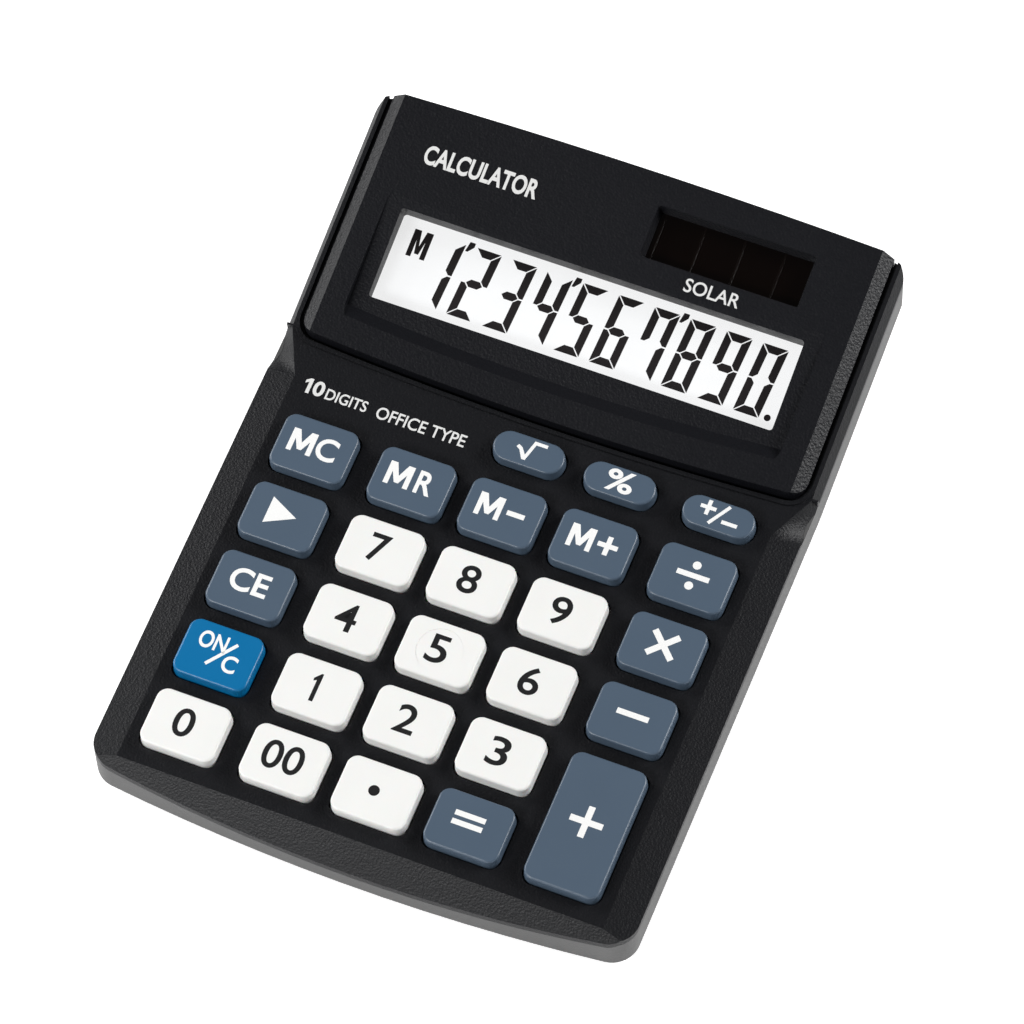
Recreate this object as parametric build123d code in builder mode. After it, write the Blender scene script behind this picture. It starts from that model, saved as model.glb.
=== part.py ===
"""Desk calculator: a wedge-shaped case, a tilted display panel and a keypad of sprung keys.

Row frame: +X right, +Y to the back, +Z up, the origin under the middle of the case on the table.
Deck frame: the keypad deck's own plane, x right, y up the slope, z square out of it, from the key
grid's middle.
Head frame: the display panel's top plane, x right, y up its slope, from the panel's front corners.
All sizes are millimetres.
"""
from build123d import *
from math import atan2, cos, degrees, radians, sin, tan
import os

os.makedirs("parts", exist_ok=True)

# Overall sizes
BODY_LENGTH = 137.4
BODY_HEIGHT = 31.0
DECK_SLOPE = 4.2  # degrees, the keypad deck to the table
HEAD_TILT = 10.9  # degrees, the display panel to the keypad deck
SIDE_MARGIN = 7.9  # from an outer key to the case's side
FRONT_REACH = 34.9  # from the key grid's middle to the front edge, along the deck
FRONT_CORNER = 5.0
BACK_CORNER = 3.0
FRONT_BOW = 3.1  # how far the front edge bulges
BACK_BOW = 0.9

# Key grid
KEY_WIDTH = 13.9
KEY_DEPTH = 10.8
KEY_GAP_X = 3.3
KEY_GAP_Y = 3.42
OUTER_COLUMN_EXTRA = 1.38  # the outer columns stand this much further out
KEY_RISE = 2.05  # a key's top above the deck
KEY_CORNER = 2.0
KEY_TOP_EDGE = 0.45
KEY_DRAFT = 3.0
KEY_CLEARANCE = 0.22
KEY_REST_GAP = 0.06
KEY_WALL = 1.3
KEY_FLANGE = 0.9
KEY_FLANGE_THICKNESS = 1.0
PLUNGER = 4.2
SMALL_KEY_WIDTH = 13.2
SMALL_KEY_DEPTH = 5.9
SMALL_ROW_STEP = 12.7  # from the top key row to the three small keys
MARKER_RADIUS = 4.23  # the shallow disc on the middle key
MARKER_DEPTH = 0.07

# Case walls
DECK_THICKNESS = 1.8
WALL = 1.8
FLOOR = 1.6
LAP_GAP = 0.15
LAP_WALL = 1.1
LAP_DEPTH = 2.0
FRONT_DROP = 3.95
FRONT_RUN = 4.7
SIDE_RUN = 5.4  # the shallow bevel along the deck's sides
SIDE_DROP = 1.05
EDGE_HEIGHT = 1.1  # the upper case's upright edge, below its bevels
TRAY_DEPTH = 8.6  # from the deck down to the tray's lower edge
BELLY_INSET_TOP = 1.0
BELLY_INSET_FRONT = 1.4
BELLY_INSET_BACK = 6.6
FOOT_HEIGHT = 1.0
FOOT_RADIUS = 4.0
FOOT_RECESS = 0.6

# Display panel
HEAD_START = 58.0  # the panel's front corners, along the deck from the key grid's middle
HEAD_RISE = 1.9  # the panel's top plane above the deck there
PANEL_RISE = 1.8  # the panel's top plane above the case's side rims
PANEL_MARGIN = 2.65  # from the panel's edge to the case's side
PANEL_GAP = 0.8
MOAT_DEPTH = 0.7  # of the gap round the panel, below the side rims
PANEL_BOW = 1.7
PANEL_CORNER = 3.4
PANEL_FRONT = -2.65  # the panel's front edge at the middle, in the head frame
PANEL_WALL = 1.6
PANEL_SKIN = 1.7
PANEL_BEVEL_RUN = 2.2
PANEL_BEVEL_DROP = 1.5
POCKET_DEPTH = 2.2  # the panel's seat below the side rims
POCKET_FLOOR = 1.8
RIM_WIDTH = 0.75
RIM_RISE = 0.25

WINDOW_WIDTH = 77.0
WINDOW_DEPTH = 17.1
WINDOW_FRONT = 8.8
WINDOW_CORNER = 0.6
RECESS_MARGIN = 2.6
RECESS_FRONT = 2.1
RECESS_RAMP = 2.4
RECESS_DEPTH = 1.5
RECESS_BACK = 0.5
RECESS_CORNER = 4.0
RECESS_BOW_RADIUS = 500.0
SCREEN_SEAT = 3.8  # the panel's underside round its window, below its top plane

SOLAR_WIDTH = 30.1
SOLAR_DEPTH = 10.0
SOLAR_FRONT = 31.2
SOLAR_LEFT = 5.1
SOLAR_BEVEL = 0.6
SOLAR_SEAT = 2.3

# Inner pieces
LENS_THICKNESS = 0.8
POLARISER_THICKNESS = 0.2
GLASS_THICKNESS = 0.7
GLASS_MARGIN = 1.2
GLASS_LEDGE = 2.4
HOLDER_WALL = 1.2
FIT = 0.1
CELL_THICKNESS = 1.1
SHEET_THICKNESS = 0.7
DOME_HEIGHT = 1.7
DOME_BASE = 3.1
DOME_TOP = 2.2
DOME_WALL = 0.35
SMALL_DOME_SCALE = 0.78
BOARD_THICKNESS = 1.2
BOARD_MARGIN = 0.3
PAD_RADIUS = 1.7
PAD_HEIGHT = 0.05
BOSS_RADIUS = 1.6
PILOT_RADIUS = 0.82
SCREW_RADIUS = 0.8
SCREW_HEAD_RADIUS = 1.6
SCREW_HEAD_HEIGHT = 1.0
CASE_BOSS_RADIUS = 1.9
CASE_SLEEVE_RADIUS = 2.3
BATTERY_DIAMETER = 11.6
BATTERY_THICKNESS = 3.1
BATTERY_WALL = 1.4
BATTERY_CLEARANCE = 0.3
CONTACT_THICKNESS = 0.3
DOOR_THICKNESS = 1.2
DOOR_EDGE = 0.8
DOOR_CORNER = 1.0
DOOR_TAB = 5.0  # the door is this much longer than it is wide, for its screw
BATTERY_FROM_BACK = 37.0
SCREW_SHELF = 1.6  # material under a case screw's head
SCREW_REACH = 3.6  # a case screw's grip in the upper case
JOINT_GAP = 0.1
SEAM = 0.08  # shadow line between the two cases
RIM_FALL = 1.65
FADE_LENGTH = 9.0  # over which the deck's side bevel narrows beside the panel's front
FOOT_FROM_SIDE = 11.0
FOOT_FROM_FRONT = 13.0
FOOT_FROM_BACK = 21.0
WIRE_RADIUS = 0.5
WIRE_BEND = 2.0
SHORT_BEND = 1.0
WIRE_DROP = 3.4  # how far the solar cell's wires hang below the board
SHORT_DROP = 1.6
WIRE_STEP = 3.0
BOARD_LAP = 2.0  # from the board's back edge to the wires
RIBBON_LAP = 3.4
SOLAR_SLOT_MARGIN = 6.0
BOARD_SCREW_GRIP = 2.2
CELL_STEP = 0.8
CELL_CAN_SHARE = 0.8  # of the cell's thickness
CONTACT_GAP = 0.03
CONTACT_WIDTH = 2.4
BLOB_RADIUS = 6.0
BLOB_HEIGHT = 1.4
BLOB_TAPER = 35
CAPACITOR_RADIUS = 2.0
CAPACITOR_HEIGHT = 3.6
RESISTOR_WIDTH = 1.2
RESISTOR_LENGTH = 2.0
RESISTOR_HEIGHT = 0.5
RESISTOR_STEP = 3.4
RESISTOR_COUNT = 5
SCREW_CROSS = 1.8
SCREW_SLOT = 0.4
SCREW_CLEARANCE = 0.15
EDGE_ROUND = 0.3
RIBBON_THICKNESS = 0.12
RIBBON_LIFT = 0.08  # the ribbon's middle above what it lies on
RIBBON_BEND = 0.5
RIBBON_SHARE = 0.8  # of the glass's width
GRIP_LENGTH = 7.0
GRIP_WIDTH = 0.7
GRIP_STEP = 1.6
GRIP_COUNT = 5
GRIP_DEPTH = 0.35

# Values that follow from the sizes above
SLOPE = radians(DECK_SLOPE)
TILT = radians(HEAD_TILT)
CHAMFER = atan2(FRONT_DROP, FRONT_RUN)
PITCH_X = KEY_WIDTH + KEY_GAP_X
PITCH_Y = KEY_DEPTH + KEY_GAP_Y
COLUMNS = [
    -2 * PITCH_X - OUTER_COLUMN_EXTRA,
    -PITCH_X,
    0.0,
    PITCH_X,
    2 * PITCH_X + OUTER_COLUMN_EXTRA,
]
ROWS = [(2.5 - row) * PITCH_Y for row in range(5)]
SMALL_ROW = ROWS[0] + SMALL_ROW_STEP
HALF_WIDTH = COLUMNS[4] + KEY_WIDTH / 2 + SIDE_MARGIN
HALF_LENGTH = BODY_LENGTH / 2
PANEL_HALF = HALF_WIDTH - PANEL_MARGIN
EDGE_DEPTH = SIDE_DROP + EDGE_HEIGHT
FAR = 3 * BODY_LENGTH
OVERRUN = 3.0  # side-view lines run this far past the front wall
OPEN_START = -9.0  # side-view lines of the panel start this far before its plane's origin
DEEP = 12.0  # deeper than anything a hole has to pass through
SKY = [(-FAR, FAR), (FAR, FAR)]
GROUND = [(-FAR, -FAR), (FAR, -FAR)]
Y_SHIFT = -HALF_LENGTH + FRONT_REACH * cos(SLOPE) - FRONT_DROP * sin(SLOPE)


def head_height(along):
    """The panel's top plane above the deck plane, at a distance along the deck."""
    return HEAD_RISE + (along - HEAD_START) * tan(TILT)


BACK_ALONG = (HALF_LENGTH - Y_SHIFT + (HEAD_RISE - HEAD_START * tan(TILT)) * sin(SLOPE)) / (
    cos(SLOPE) - tan(TILT) * sin(SLOPE)
)
Z_SHIFT = BODY_HEIGHT - BACK_ALONG * sin(SLOPE) - head_height(BACK_ALONG) * cos(SLOPE)


def row_point(along, height):
    """A deck-frame point in side view, as (y, z) of the row frame."""
    y = along * cos(SLOPE) - height * sin(SLOPE) + Y_SHIFT
    z = along * sin(SLOPE) + height * cos(SLOPE) + Z_SHIFT
    return (y, z)


def deck_point(x, along, height):
    y, z = row_point(along, height)
    return Vector(x, y, z)


DECK_UP = Vector(0, -sin(SLOPE), cos(SLOPE))
DECK = Plane(origin=deck_point(0, 0, 0), x_dir=(1, 0, 0), z_dir=DECK_UP)
HEAD_UP = Vector(0, -sin(SLOPE + TILT), cos(SLOPE + TILT))
HEAD = Plane(origin=deck_point(0, HEAD_START, HEAD_RISE), x_dir=(1, 0, 0), z_dir=HEAD_UP)


def head_side(y, z):
    """A head-frame point in side view, as (y, z) of the row frame."""
    place = HEAD.from_local_coords((0, y, z))
    return (place.Y, place.Z)


RIM_START = HEAD_START - (HEAD_RISE - PANEL_RISE / cos(TILT)) / tan(TILT)


def head_end(depth):
    """The far end of a line parallel to the side rims, depth below them."""
    return row_point(
        RIM_START + depth * sin(TILT) + FAR * cos(TILT), -depth * cos(TILT) + FAR * sin(TILT)
    )


def head_bend(deck, head):
    """Where a line under the deck meets a line under the side rims."""
    rise = (head * cos(TILT) - deck) / sin(TILT)
    return row_point(RIM_START + head * sin(TILT) + rise * cos(TILT), -deck)


def top_line(front=0.0, deck=0.0, head=0.0):
    """The case's top in side view, its bevel, deck and side rims each lowered by their own depth."""
    corner = -FRONT_REACH + FRONT_RUN + front * sin(CHAMFER)
    fall = (deck - front * cos(CHAMFER)) / sin(CHAMFER)
    reach = (corner + FRONT_REACH + OVERRUN) / cos(CHAMFER)
    return [
        row_point(-FRONT_REACH - OVERRUN, -front * cos(CHAMFER) - reach * sin(CHAMFER)),
        row_point(corner - fall * cos(CHAMFER), -deck),
        head_bend(deck, head),
        head_end(head),
    ]


def tray_line(depth):
    """A line depth below the deck and the side rims, that runs straight on past the front."""
    return [row_point(-FRONT_REACH - OVERRUN, -depth), head_bend(depth, depth), head_end(depth)]


def head_line(depth, start):
    """A line parallel to the panel's top plane, depth below it, from start to past the back."""
    return [head_side(start, -depth), head_side(FAR, -depth)]


def outline(inset=0.0):
    """The case's plan outline, drawn in by inset all round."""
    wide = HALF_WIDTH - inset
    front = -HALF_LENGTH + inset
    back = HALF_LENGTH - inset
    with BuildSketch() as plan:
        with BuildLine():
            ThreePointArc((-wide, front + FRONT_BOW), (0, front), (wide, front + FRONT_BOW))
            Line((wide, front + FRONT_BOW), (wide, back - BACK_BOW))
            ThreePointArc((wide, back - BACK_BOW), (0, back), (-wide, back - BACK_BOW))
            Line((-wide, back - BACK_BOW), (-wide, front + FRONT_BOW))
        make_face()
        fillet(plan.vertices().group_by(Axis.Y)[0], max(FRONT_CORNER - inset, 0.6))
        fillet(plan.vertices().group_by(Axis.Y)[-1], max(BACK_CORNER - inset, 0.6))
    return plan.sketch


def panel_outline(grow=0.0):
    """The display panel's plan outline, grown by grow at its sides and front and open at the back."""
    wide = PANEL_HALF + grow
    middle = head_side(PANEL_FRONT, 0)[0] - grow
    with BuildSketch() as plan:
        with BuildLine():
            ThreePointArc((-wide, middle + PANEL_BOW), (0, middle), (wide, middle + PANEL_BOW))
            Polyline(
                (wide, middle + PANEL_BOW),
                (wide, FAR),
                (-wide, FAR),
                (-wide, middle + PANEL_BOW),
            )
        make_face()
        fillet(plan.vertices().group_by(Axis.Y)[0], max(PANEL_CORNER + grow, 0.6))
    return plan.sketch


def between(plan, upper, lower):
    """The solid inside a plan outline, between two side-view lines."""
    with BuildPart() as piece:
        extrude(plan, amount=BODY_HEIGHT + FAR)
        with BuildSketch(Plane.YZ) as side:
            with BuildLine():
                Polyline(*upper, *reversed(lower), close=True)
            make_face()
        extrude(side.sketch, amount=FAR, both=True, mode=Mode.INTERSECT)
    return piece.part


def side_bevel(frame, inner, drop_at_side, start, end):
    """A wedge that cuts a bevel along a sloping top's right side, from inner out to the case's side."""
    base = Plane(
        origin=frame.from_local_coords((0, start, 0)),
        x_dir=(1, 0, 0),
        z_dir=frame.y_dir * -1,
    )
    reach = 2 * HALF_WIDTH
    drop = drop_at_side * (reach - inner) / (HALF_WIDTH - inner)
    with BuildPart() as wedge:
        with BuildSketch(base):
            with BuildLine():
                Polyline((inner, 0), (reach, -drop), (reach, reach), (inner, reach), close=True)
            make_face()
        extrude(amount=start - end)
    return wedge.part


def side_fade(inner, drop, last_inner, last_drop, start, end):
    """A cut that carries the deck's right bevel over into the narrower bevel beside the panel."""
    reach = 2 * HALF_WIDTH
    with BuildPart() as cut:
        for place, edge, fall in ((start, inner, drop), (end, last_inner, last_drop)):
            base = Plane(
                origin=DECK.from_local_coords((0, place, 0)), x_dir=(1, 0, 0), z_dir=DECK.y_dir * -1
            )
            low = fall * (reach - edge) / (HALF_WIDTH - edge)
            with BuildSketch(base):
                with BuildLine():
                    Polyline((edge, 0), (reach, -low), (reach, reach), (edge, reach), close=True)
                make_face()
        loft(ruled=True)
    return cut.part


def both_sides(piece):
    """A piece for the right side and its mirror for the left."""
    return [piece, mirror(piece, about=Plane.YZ, mode=Mode.PRIVATE)]


def block(frame, x, y, width, depth, top, bottom, corner=0.0):
    """An upright block on a frame, between two heights above that frame's plane."""
    with BuildPart() as piece:
        with BuildSketch(frame.offset(top)):
            with Locations((x, y)):
                if corner > 0:
                    RectangleRounded(width, depth, corner)
                else:
                    Rectangle(width, depth)
        extrude(amount=bottom - top)
    return piece.part


def post(frame, x, y, radius, top, bottom):
    """A round post on a frame, between two heights above that frame's plane."""
    with BuildPart() as piece:
        with BuildSketch(frame.offset(top)):
            with Locations((x, y)):
                Circle(radius)
        extrude(amount=bottom - top)
    return piece.part


def save(part, name):
    part.label = name
    export_step(part, f"parts/{name}.step")


# Keys: name, column, row, rows spanned. The small keys sit in a row of their own.
GRID_KEYS = [
    ("key_mc", 0, 0), ("key_mr", 1, 0), ("key_m_minus", 2, 0), ("key_m_plus", 3, 0), ("key_divide", 4, 0),
    ("key_backspace", 0, 1), ("key_7", 1, 1), ("key_8", 2, 1), ("key_9", 3, 1), ("key_multiply", 4, 1),
    ("key_ce", 0, 2), ("key_4", 1, 2), ("key_5", 2, 2), ("key_6", 3, 2), ("key_minus", 4, 2),
    ("key_on_c", 0, 3), ("key_1", 1, 3), ("key_2", 2, 3), ("key_3", 3, 3),
    ("key_0", 0, 4), ("key_00", 1, 4), ("key_point", 2, 4), ("key_equals", 3, 4),
]
SMALL_KEYS = [("key_root", 2), ("key_percent", 3), ("key_sign", 4)]

KEYS = [
    (name, COLUMNS[column], ROWS[row], KEY_WIDTH, KEY_DEPTH, KEY_CORNER)
    for name, column, row in GRID_KEYS
]
KEYS.append(
    ("key_plus", COLUMNS[4], (ROWS[3] + ROWS[4]) / 2, KEY_WIDTH, KEY_DEPTH + PITCH_Y, KEY_CORNER)
)
KEYS += [
    (name, COLUMNS[column], SMALL_ROW, SMALL_KEY_WIDTH, SMALL_KEY_DEPTH, SMALL_KEY_DEPTH / 2 - 0.05)
    for name, column in SMALL_KEYS
]

FLANGE_TOP = -DECK_THICKNESS - KEY_REST_GAP
FLANGE_BOTTOM = FLANGE_TOP - KEY_FLANGE_THICKNESS
SHEET_TOP = FLANGE_BOTTOM - DOME_HEIGHT
BOARD_TOP = SHEET_TOP - SHEET_THICKNESS
BOARD_BOTTOM = BOARD_TOP - BOARD_THICKNESS
BASE_SPREAD = tan(radians(KEY_DRAFT)) * (KEY_RISE - FLANGE_TOP)


def make_key(name, x, y, width, depth, corner):
    """One keycap: drafted body, hollow inside, a plunger on its middle and a flange under the deck."""
    with BuildPart() as key:
        with BuildSketch(DECK.offset(KEY_RISE)):
            with Locations((x, y)):
                RectangleRounded(width, depth, corner)
        extrude(amount=FLANGE_TOP - KEY_RISE, taper=-KEY_DRAFT)
        top = key.faces().sort_by(Axis(DECK.origin, DECK.z_dir))[-1]
        fillet(top.edges(), KEY_TOP_EDGE)
        if name == "key_5":
            with BuildSketch(DECK.offset(KEY_RISE)):
                with Locations((x, y)):
                    Circle(MARKER_RADIUS)
            extrude(amount=-MARKER_DEPTH, mode=Mode.SUBTRACT)
        add(
            block(
                DECK, x, y, width + 2 * KEY_FLANGE, depth + 2 * KEY_FLANGE,
                FLANGE_TOP, FLANGE_BOTTOM, corner + KEY_FLANGE / 2,
            )
        )
        add(
            block(
                DECK, x, y, width - 2 * KEY_WALL, depth - 2 * KEY_WALL,
                KEY_RISE - KEY_WALL, FLANGE_BOTTOM, max(corner - KEY_WALL, 0.3),
            ),
            mode=Mode.SUBTRACT,
        )
        plunger = min(PLUNGER, depth - 2 * KEY_WALL - 0.6) / 2
        add(post(DECK, x, y, plunger, KEY_RISE - KEY_WALL, FLANGE_BOTTOM))
    save(key.part, name)


for key_values in KEYS:
    make_key(*key_values)

# Screw places, in the deck frame for the board and in plan for the case
GAP_X = (COLUMNS[3] + COLUMNS[4]) / 2
BOARD_SCREWS = [
    (sign * across, along)
    for sign in (-1, 1)
    for across, along in (
        (GAP_X, (ROWS[0] + ROWS[1]) / 2),
        (GAP_X, (ROWS[2] + ROWS[1]) / 2 - PITCH_Y),
        (PITCH_X / 2, (ROWS[3] + ROWS[4]) / 2),
    )
]
CASE_SCREW_X = HALF_WIDTH - WALL - LAP_GAP - LAP_WALL - CASE_BOSS_RADIUS + 0.3
FRONT_SCREW_Y = row_point(ROWS[4] - KEY_DEPTH / 2 - KEY_FLANGE, 0)[0] - 0.4
SOLAR_RIGHT = SOLAR_LEFT + SOLAR_WIDTH
BACK_SCREW_X = (SOLAR_RIGHT + GLASS_MARGIN + HOLDER_WALL) + CASE_SLEEVE_RADIUS + 0.4
BACK_SCREW_Y = head_side(SOLAR_FRONT + SOLAR_DEPTH / 2, 0)[0]
RIM_DEPTH = PANEL_RISE  # the side rims lie this far below the panel's top plane
SEAT_DEPTH = RIM_DEPTH + POCKET_DEPTH
UNDER_SEAT = SEAT_DEPTH + POCKET_FLOOR
FRONT_ROOF = row_point(ROWS[4] - KEY_DEPTH / 2, -DECK_THICKNESS / 2)[1]
FRONT_JOINT = FOOT_HEIGHT + SCREW_SHELF + SCREW_HEAD_HEIGHT + 0.3
BACK_ROOF = head_side(SOLAR_FRONT + SOLAR_DEPTH / 2, -SEAT_DEPTH - POCKET_FLOOR / 2)[1]
BACK_JOINT = BACK_ROOF - SCREW_REACH - POCKET_FLOOR
CASE_SCREWS = [
    (sign * across, along, joint, roof)
    for sign in (-1, 1)
    for across, along, joint, roof in (
        (CASE_SCREW_X, FRONT_SCREW_Y, FRONT_JOINT, FRONT_ROOF),
        (BACK_SCREW_X, BACK_SCREW_Y, BACK_JOINT, BACK_ROOF),
    )
]

# Display and solar cell, in the head frame
SCREEN_WIDTH = WINDOW_WIDTH + 2 * GLASS_MARGIN
SCREEN_BACK = WINDOW_FRONT + WINDOW_DEPTH + GLASS_MARGIN
SCREEN_LENGTH = WINDOW_DEPTH + 2 * GLASS_MARGIN + GLASS_LEDGE
SCREEN_MIDDLE = SCREEN_BACK - SCREEN_LENGTH / 2
SOLAR_MIDDLE_X = SOLAR_LEFT + SOLAR_WIDTH / 2
SOLAR_MIDDLE_Y = SOLAR_FRONT + SOLAR_DEPTH / 2
SOLAR_LEAN = degrees(atan2(SOLAR_BEVEL, SOLAR_SEAT))

# Battery box and feet, in plan
BATTERY_BOX = BATTERY_DIAMETER + 2 * (BATTERY_CLEARANCE + BATTERY_WALL) + 2 * DOOR_EDGE
BATTERY_CELL_Z = FOOT_HEIGHT + DOOR_THICKNESS + 2 * FIT
BATTERY_ROOF = BATTERY_CELL_Z + BATTERY_THICKNESS + 2 * CONTACT_THICKNESS + FLOOR
BATTERY_X = -HALF_WIDTH / 2
BATTERY_Y = HALF_LENGTH - BATTERY_FROM_BACK
BATTERY_CELL_X = BATTERY_X - DOOR_TAB / 2
DOOR_SCREW_X = BATTERY_X + BATTERY_BOX / 2
CELL_EDGE = BATTERY_DIAMETER / 2
POCKET_EDGE = CELL_EDGE + BATTERY_CLEARANCE
BATTERY_WIRES = [BATTERY_CELL_X - POCKET_EDGE + WIRE_RADIUS, BATTERY_CELL_X]
FEET = [
    (sign * across, along)
    for sign in (-1, 1)
    for across, along in (
        (HALF_WIDTH - FOOT_FROM_SIDE, -HALF_LENGTH + FOOT_FROM_FRONT),
        (HALF_WIDTH - BELLY_INSET_BACK - FOOT_RADIUS - 3, HALF_LENGTH - FOOT_FROM_BACK),
    )
]


def display_recess():
    """The sunken surround of the display: its floor falls to the front, where a bowed ramp leads back up."""
    start = WINDOW_FRONT + WINDOW_DEPTH + RECESS_BACK
    centre = RECESS_FRONT + RECESS_BOW_RADIUS
    with BuildPart() as cutter:
        with BuildSketch(Plane.YZ):
            with BuildLine():
                Polyline(
                    head_side(start, 0),
                    head_side(RECESS_FRONT + RECESS_RAMP, -RECESS_DEPTH),
                    head_side(RECESS_FRONT, 0),
                    head_side(RECESS_FRONT, 1),
                    head_side(start, 1),
                    close=True,
                )
            make_face()
        revolve(axis=Axis(HEAD.from_local_coords((0, centre, 0)), HEAD.z_dir))
        add(
            block(
                HEAD, 0, (start + RECESS_FRONT + RECESS_CORNER) / 2,
                WINDOW_WIDTH + 2 * RECESS_MARGIN + 1.0,
                start - RECESS_FRONT + RECESS_CORNER, 2, -5, RECESS_CORNER,
            ),
            mode=Mode.INTERSECT,
        )
    return cutter.part


# Upper case
INNER = WALL + LAP_GAP
UNDERSIDE = top_line(DECK_THICKNESS, DECK_THICKNESS, DECK_THICKNESS)
PILOT_TOP = -DECK_THICKNESS - 0.4
PARTING = top_line(0.9, EDGE_DEPTH, EDGE_DEPTH + 0.4)
LAP_BOTTOM = top_line(0.9 + LAP_DEPTH, EDGE_DEPTH + LAP_DEPTH, EDGE_DEPTH + 0.4 + LAP_DEPTH)
TOP = top_line()
RIM_EDGE = PANEL_HALF + PANEL_GAP + RIM_WIDTH
FADE_START = RIM_START - FADE_LENGTH
SEAT_WALL_START = PANEL_FRONT - PANEL_GAP - 1.7

with BuildPart() as upper_case:
    add(between(outline(0), TOP, PARTING))
    add(between(outline(INNER), top_line(0.5, 0.5, 0.5), LAP_BOTTOM))
    add(
        between(outline(INNER + LAP_WALL), UNDERSIDE, GROUND),
        mode=Mode.SUBTRACT,
    )
    # floor of the display panel's seat
    add(
        between(
            outline(INNER),
            head_line(RIM_DEPTH + 1.0, SEAT_WALL_START),
            head_line(UNDER_SEAT, SEAT_WALL_START),
        )
    )
    # raised rim round the panel
    add(
        between(
            panel_outline(PANEL_GAP + RIM_WIDTH),
            top_line(-RIM_RISE, -RIM_RISE, -RIM_RISE),
            top_line(1, 1, 1),
        )
    )
    extrude(outline(0), amount=BODY_HEIGHT + FAR, mode=Mode.INTERSECT)
    add(
        both_sides(side_bevel(DECK, HALF_WIDTH - SIDE_RUN, SIDE_DROP, -FAR / 2, FADE_START)),
        mode=Mode.SUBTRACT,
    )
    add(
        both_sides(side_fade(HALF_WIDTH - SIDE_RUN, SIDE_DROP, RIM_EDGE, RIM_FALL, FADE_START, RIM_START)),
        mode=Mode.SUBTRACT,
    )
    add(
        both_sides(
            side_bevel(
                HEAD.offset(-RIM_DEPTH), RIM_EDGE, RIM_FALL, (RIM_START - HEAD_START) / cos(TILT), FAR / 2
            )
        ),
        mode=Mode.SUBTRACT,
    )
    # seat of the display panel, open at the back
    add(
        between(
            panel_outline(PANEL_GAP),
            head_line(OPEN_START, OPEN_START),
            head_line(RIM_DEPTH + MOAT_DEPTH, OPEN_START),
        ),
        mode=Mode.SUBTRACT,
    )
    add(
        between(
            panel_outline(FIT),
            head_line(OPEN_START, OPEN_START),
            head_line(SEAT_DEPTH, OPEN_START),
        ),
        mode=Mode.SUBTRACT,
    )
    for name, x, y, width, depth, corner in KEYS:
        spread = 2 * (BASE_SPREAD + KEY_CLEARANCE)
        add(
            block(DECK, x, y, width + spread, depth + spread, 5, -5, corner + KEY_CLEARANCE),
            mode=Mode.SUBTRACT,
        )
    add(
        block(
            HEAD, 0, SCREEN_MIDDLE, SCREEN_WIDTH + 2 * HOLDER_WALL + 1.0,
            SCREEN_LENGTH + 2 * HOLDER_WALL + 1.0, 0, -DEEP,
        ),
        mode=Mode.SUBTRACT,
    )
    add(
        block(
            HEAD, SOLAR_MIDDLE_X, SOLAR_MIDDLE_Y, SOLAR_WIDTH - SOLAR_SLOT_MARGIN,
            SOLAR_DEPTH / 2, 0, -DEEP,
        ),
        mode=Mode.SUBTRACT,
    )
    for across, along in BOARD_SCREWS:
        add(post(DECK, across, along, BOSS_RADIUS, -DECK_THICKNESS / 2, BOARD_TOP))
        add(
            post(DECK, across, along, PILOT_RADIUS, PILOT_TOP, BOARD_TOP - 1),
            mode=Mode.SUBTRACT,
        )
    for across, along, joint, roof in CASE_SCREWS:
        add(post(Plane.XY, across, along, CASE_BOSS_RADIUS, roof, joint + JOINT_GAP))
        add(
            post(Plane.XY, across, along, PILOT_RADIUS, joint + SCREW_REACH + 0.5, joint - 1),
            mode=Mode.SUBTRACT,
        )
save(upper_case.part, "upper_case")

# Lower case: the grey tray, its belly down to the table, and what stands on its floor
TRAY_TOP = top_line(0.9 + SEAM, EDGE_DEPTH + SEAM, EDGE_DEPTH + 0.4 + SEAM)
TRAY_BOTTOM = tray_line(TRAY_DEPTH)
TRAY_FLOOR = tray_line(TRAY_DEPTH - FLOOR)
BASE_FLOOR = FOOT_HEIGHT + FLOOR


def belly(inset, floor):
    """The belly under the tray, whose sides lean in towards the table and more so at the back."""
    wide = HALF_WIDTH - inset
    front = -HALF_LENGTH
    back = HALF_LENGTH
    top_front = row_point(-FRONT_REACH, -TRAY_DEPTH / 2)[1]
    top_back = BODY_HEIGHT - TRAY_DEPTH / 2
    with BuildPart() as piece:
        for place, top, lean in (
            (front, top_front, BELLY_INSET_FRONT),
            (back, top_back, BELLY_INSET_BACK),
        ):
            with BuildSketch(Plane.XZ.offset(-place)):
                with BuildLine():
                    Polyline(
                        (-(wide - BELLY_INSET_TOP), top),
                        (wide - BELLY_INSET_TOP, top),
                        (wide - lean, floor),
                        (-(wide - lean), floor),
                        close=True,
                    )
                make_face()
        loft(ruled=True)
        add(
            between(
                outline(inset + BELLY_INSET_TOP),
                tray_line(TRAY_DEPTH - FLOOR - 0.5),
                [(-FAR, floor), (FAR, floor)],
            ),
            mode=Mode.INTERSECT,
        )
    return piece.part


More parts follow.
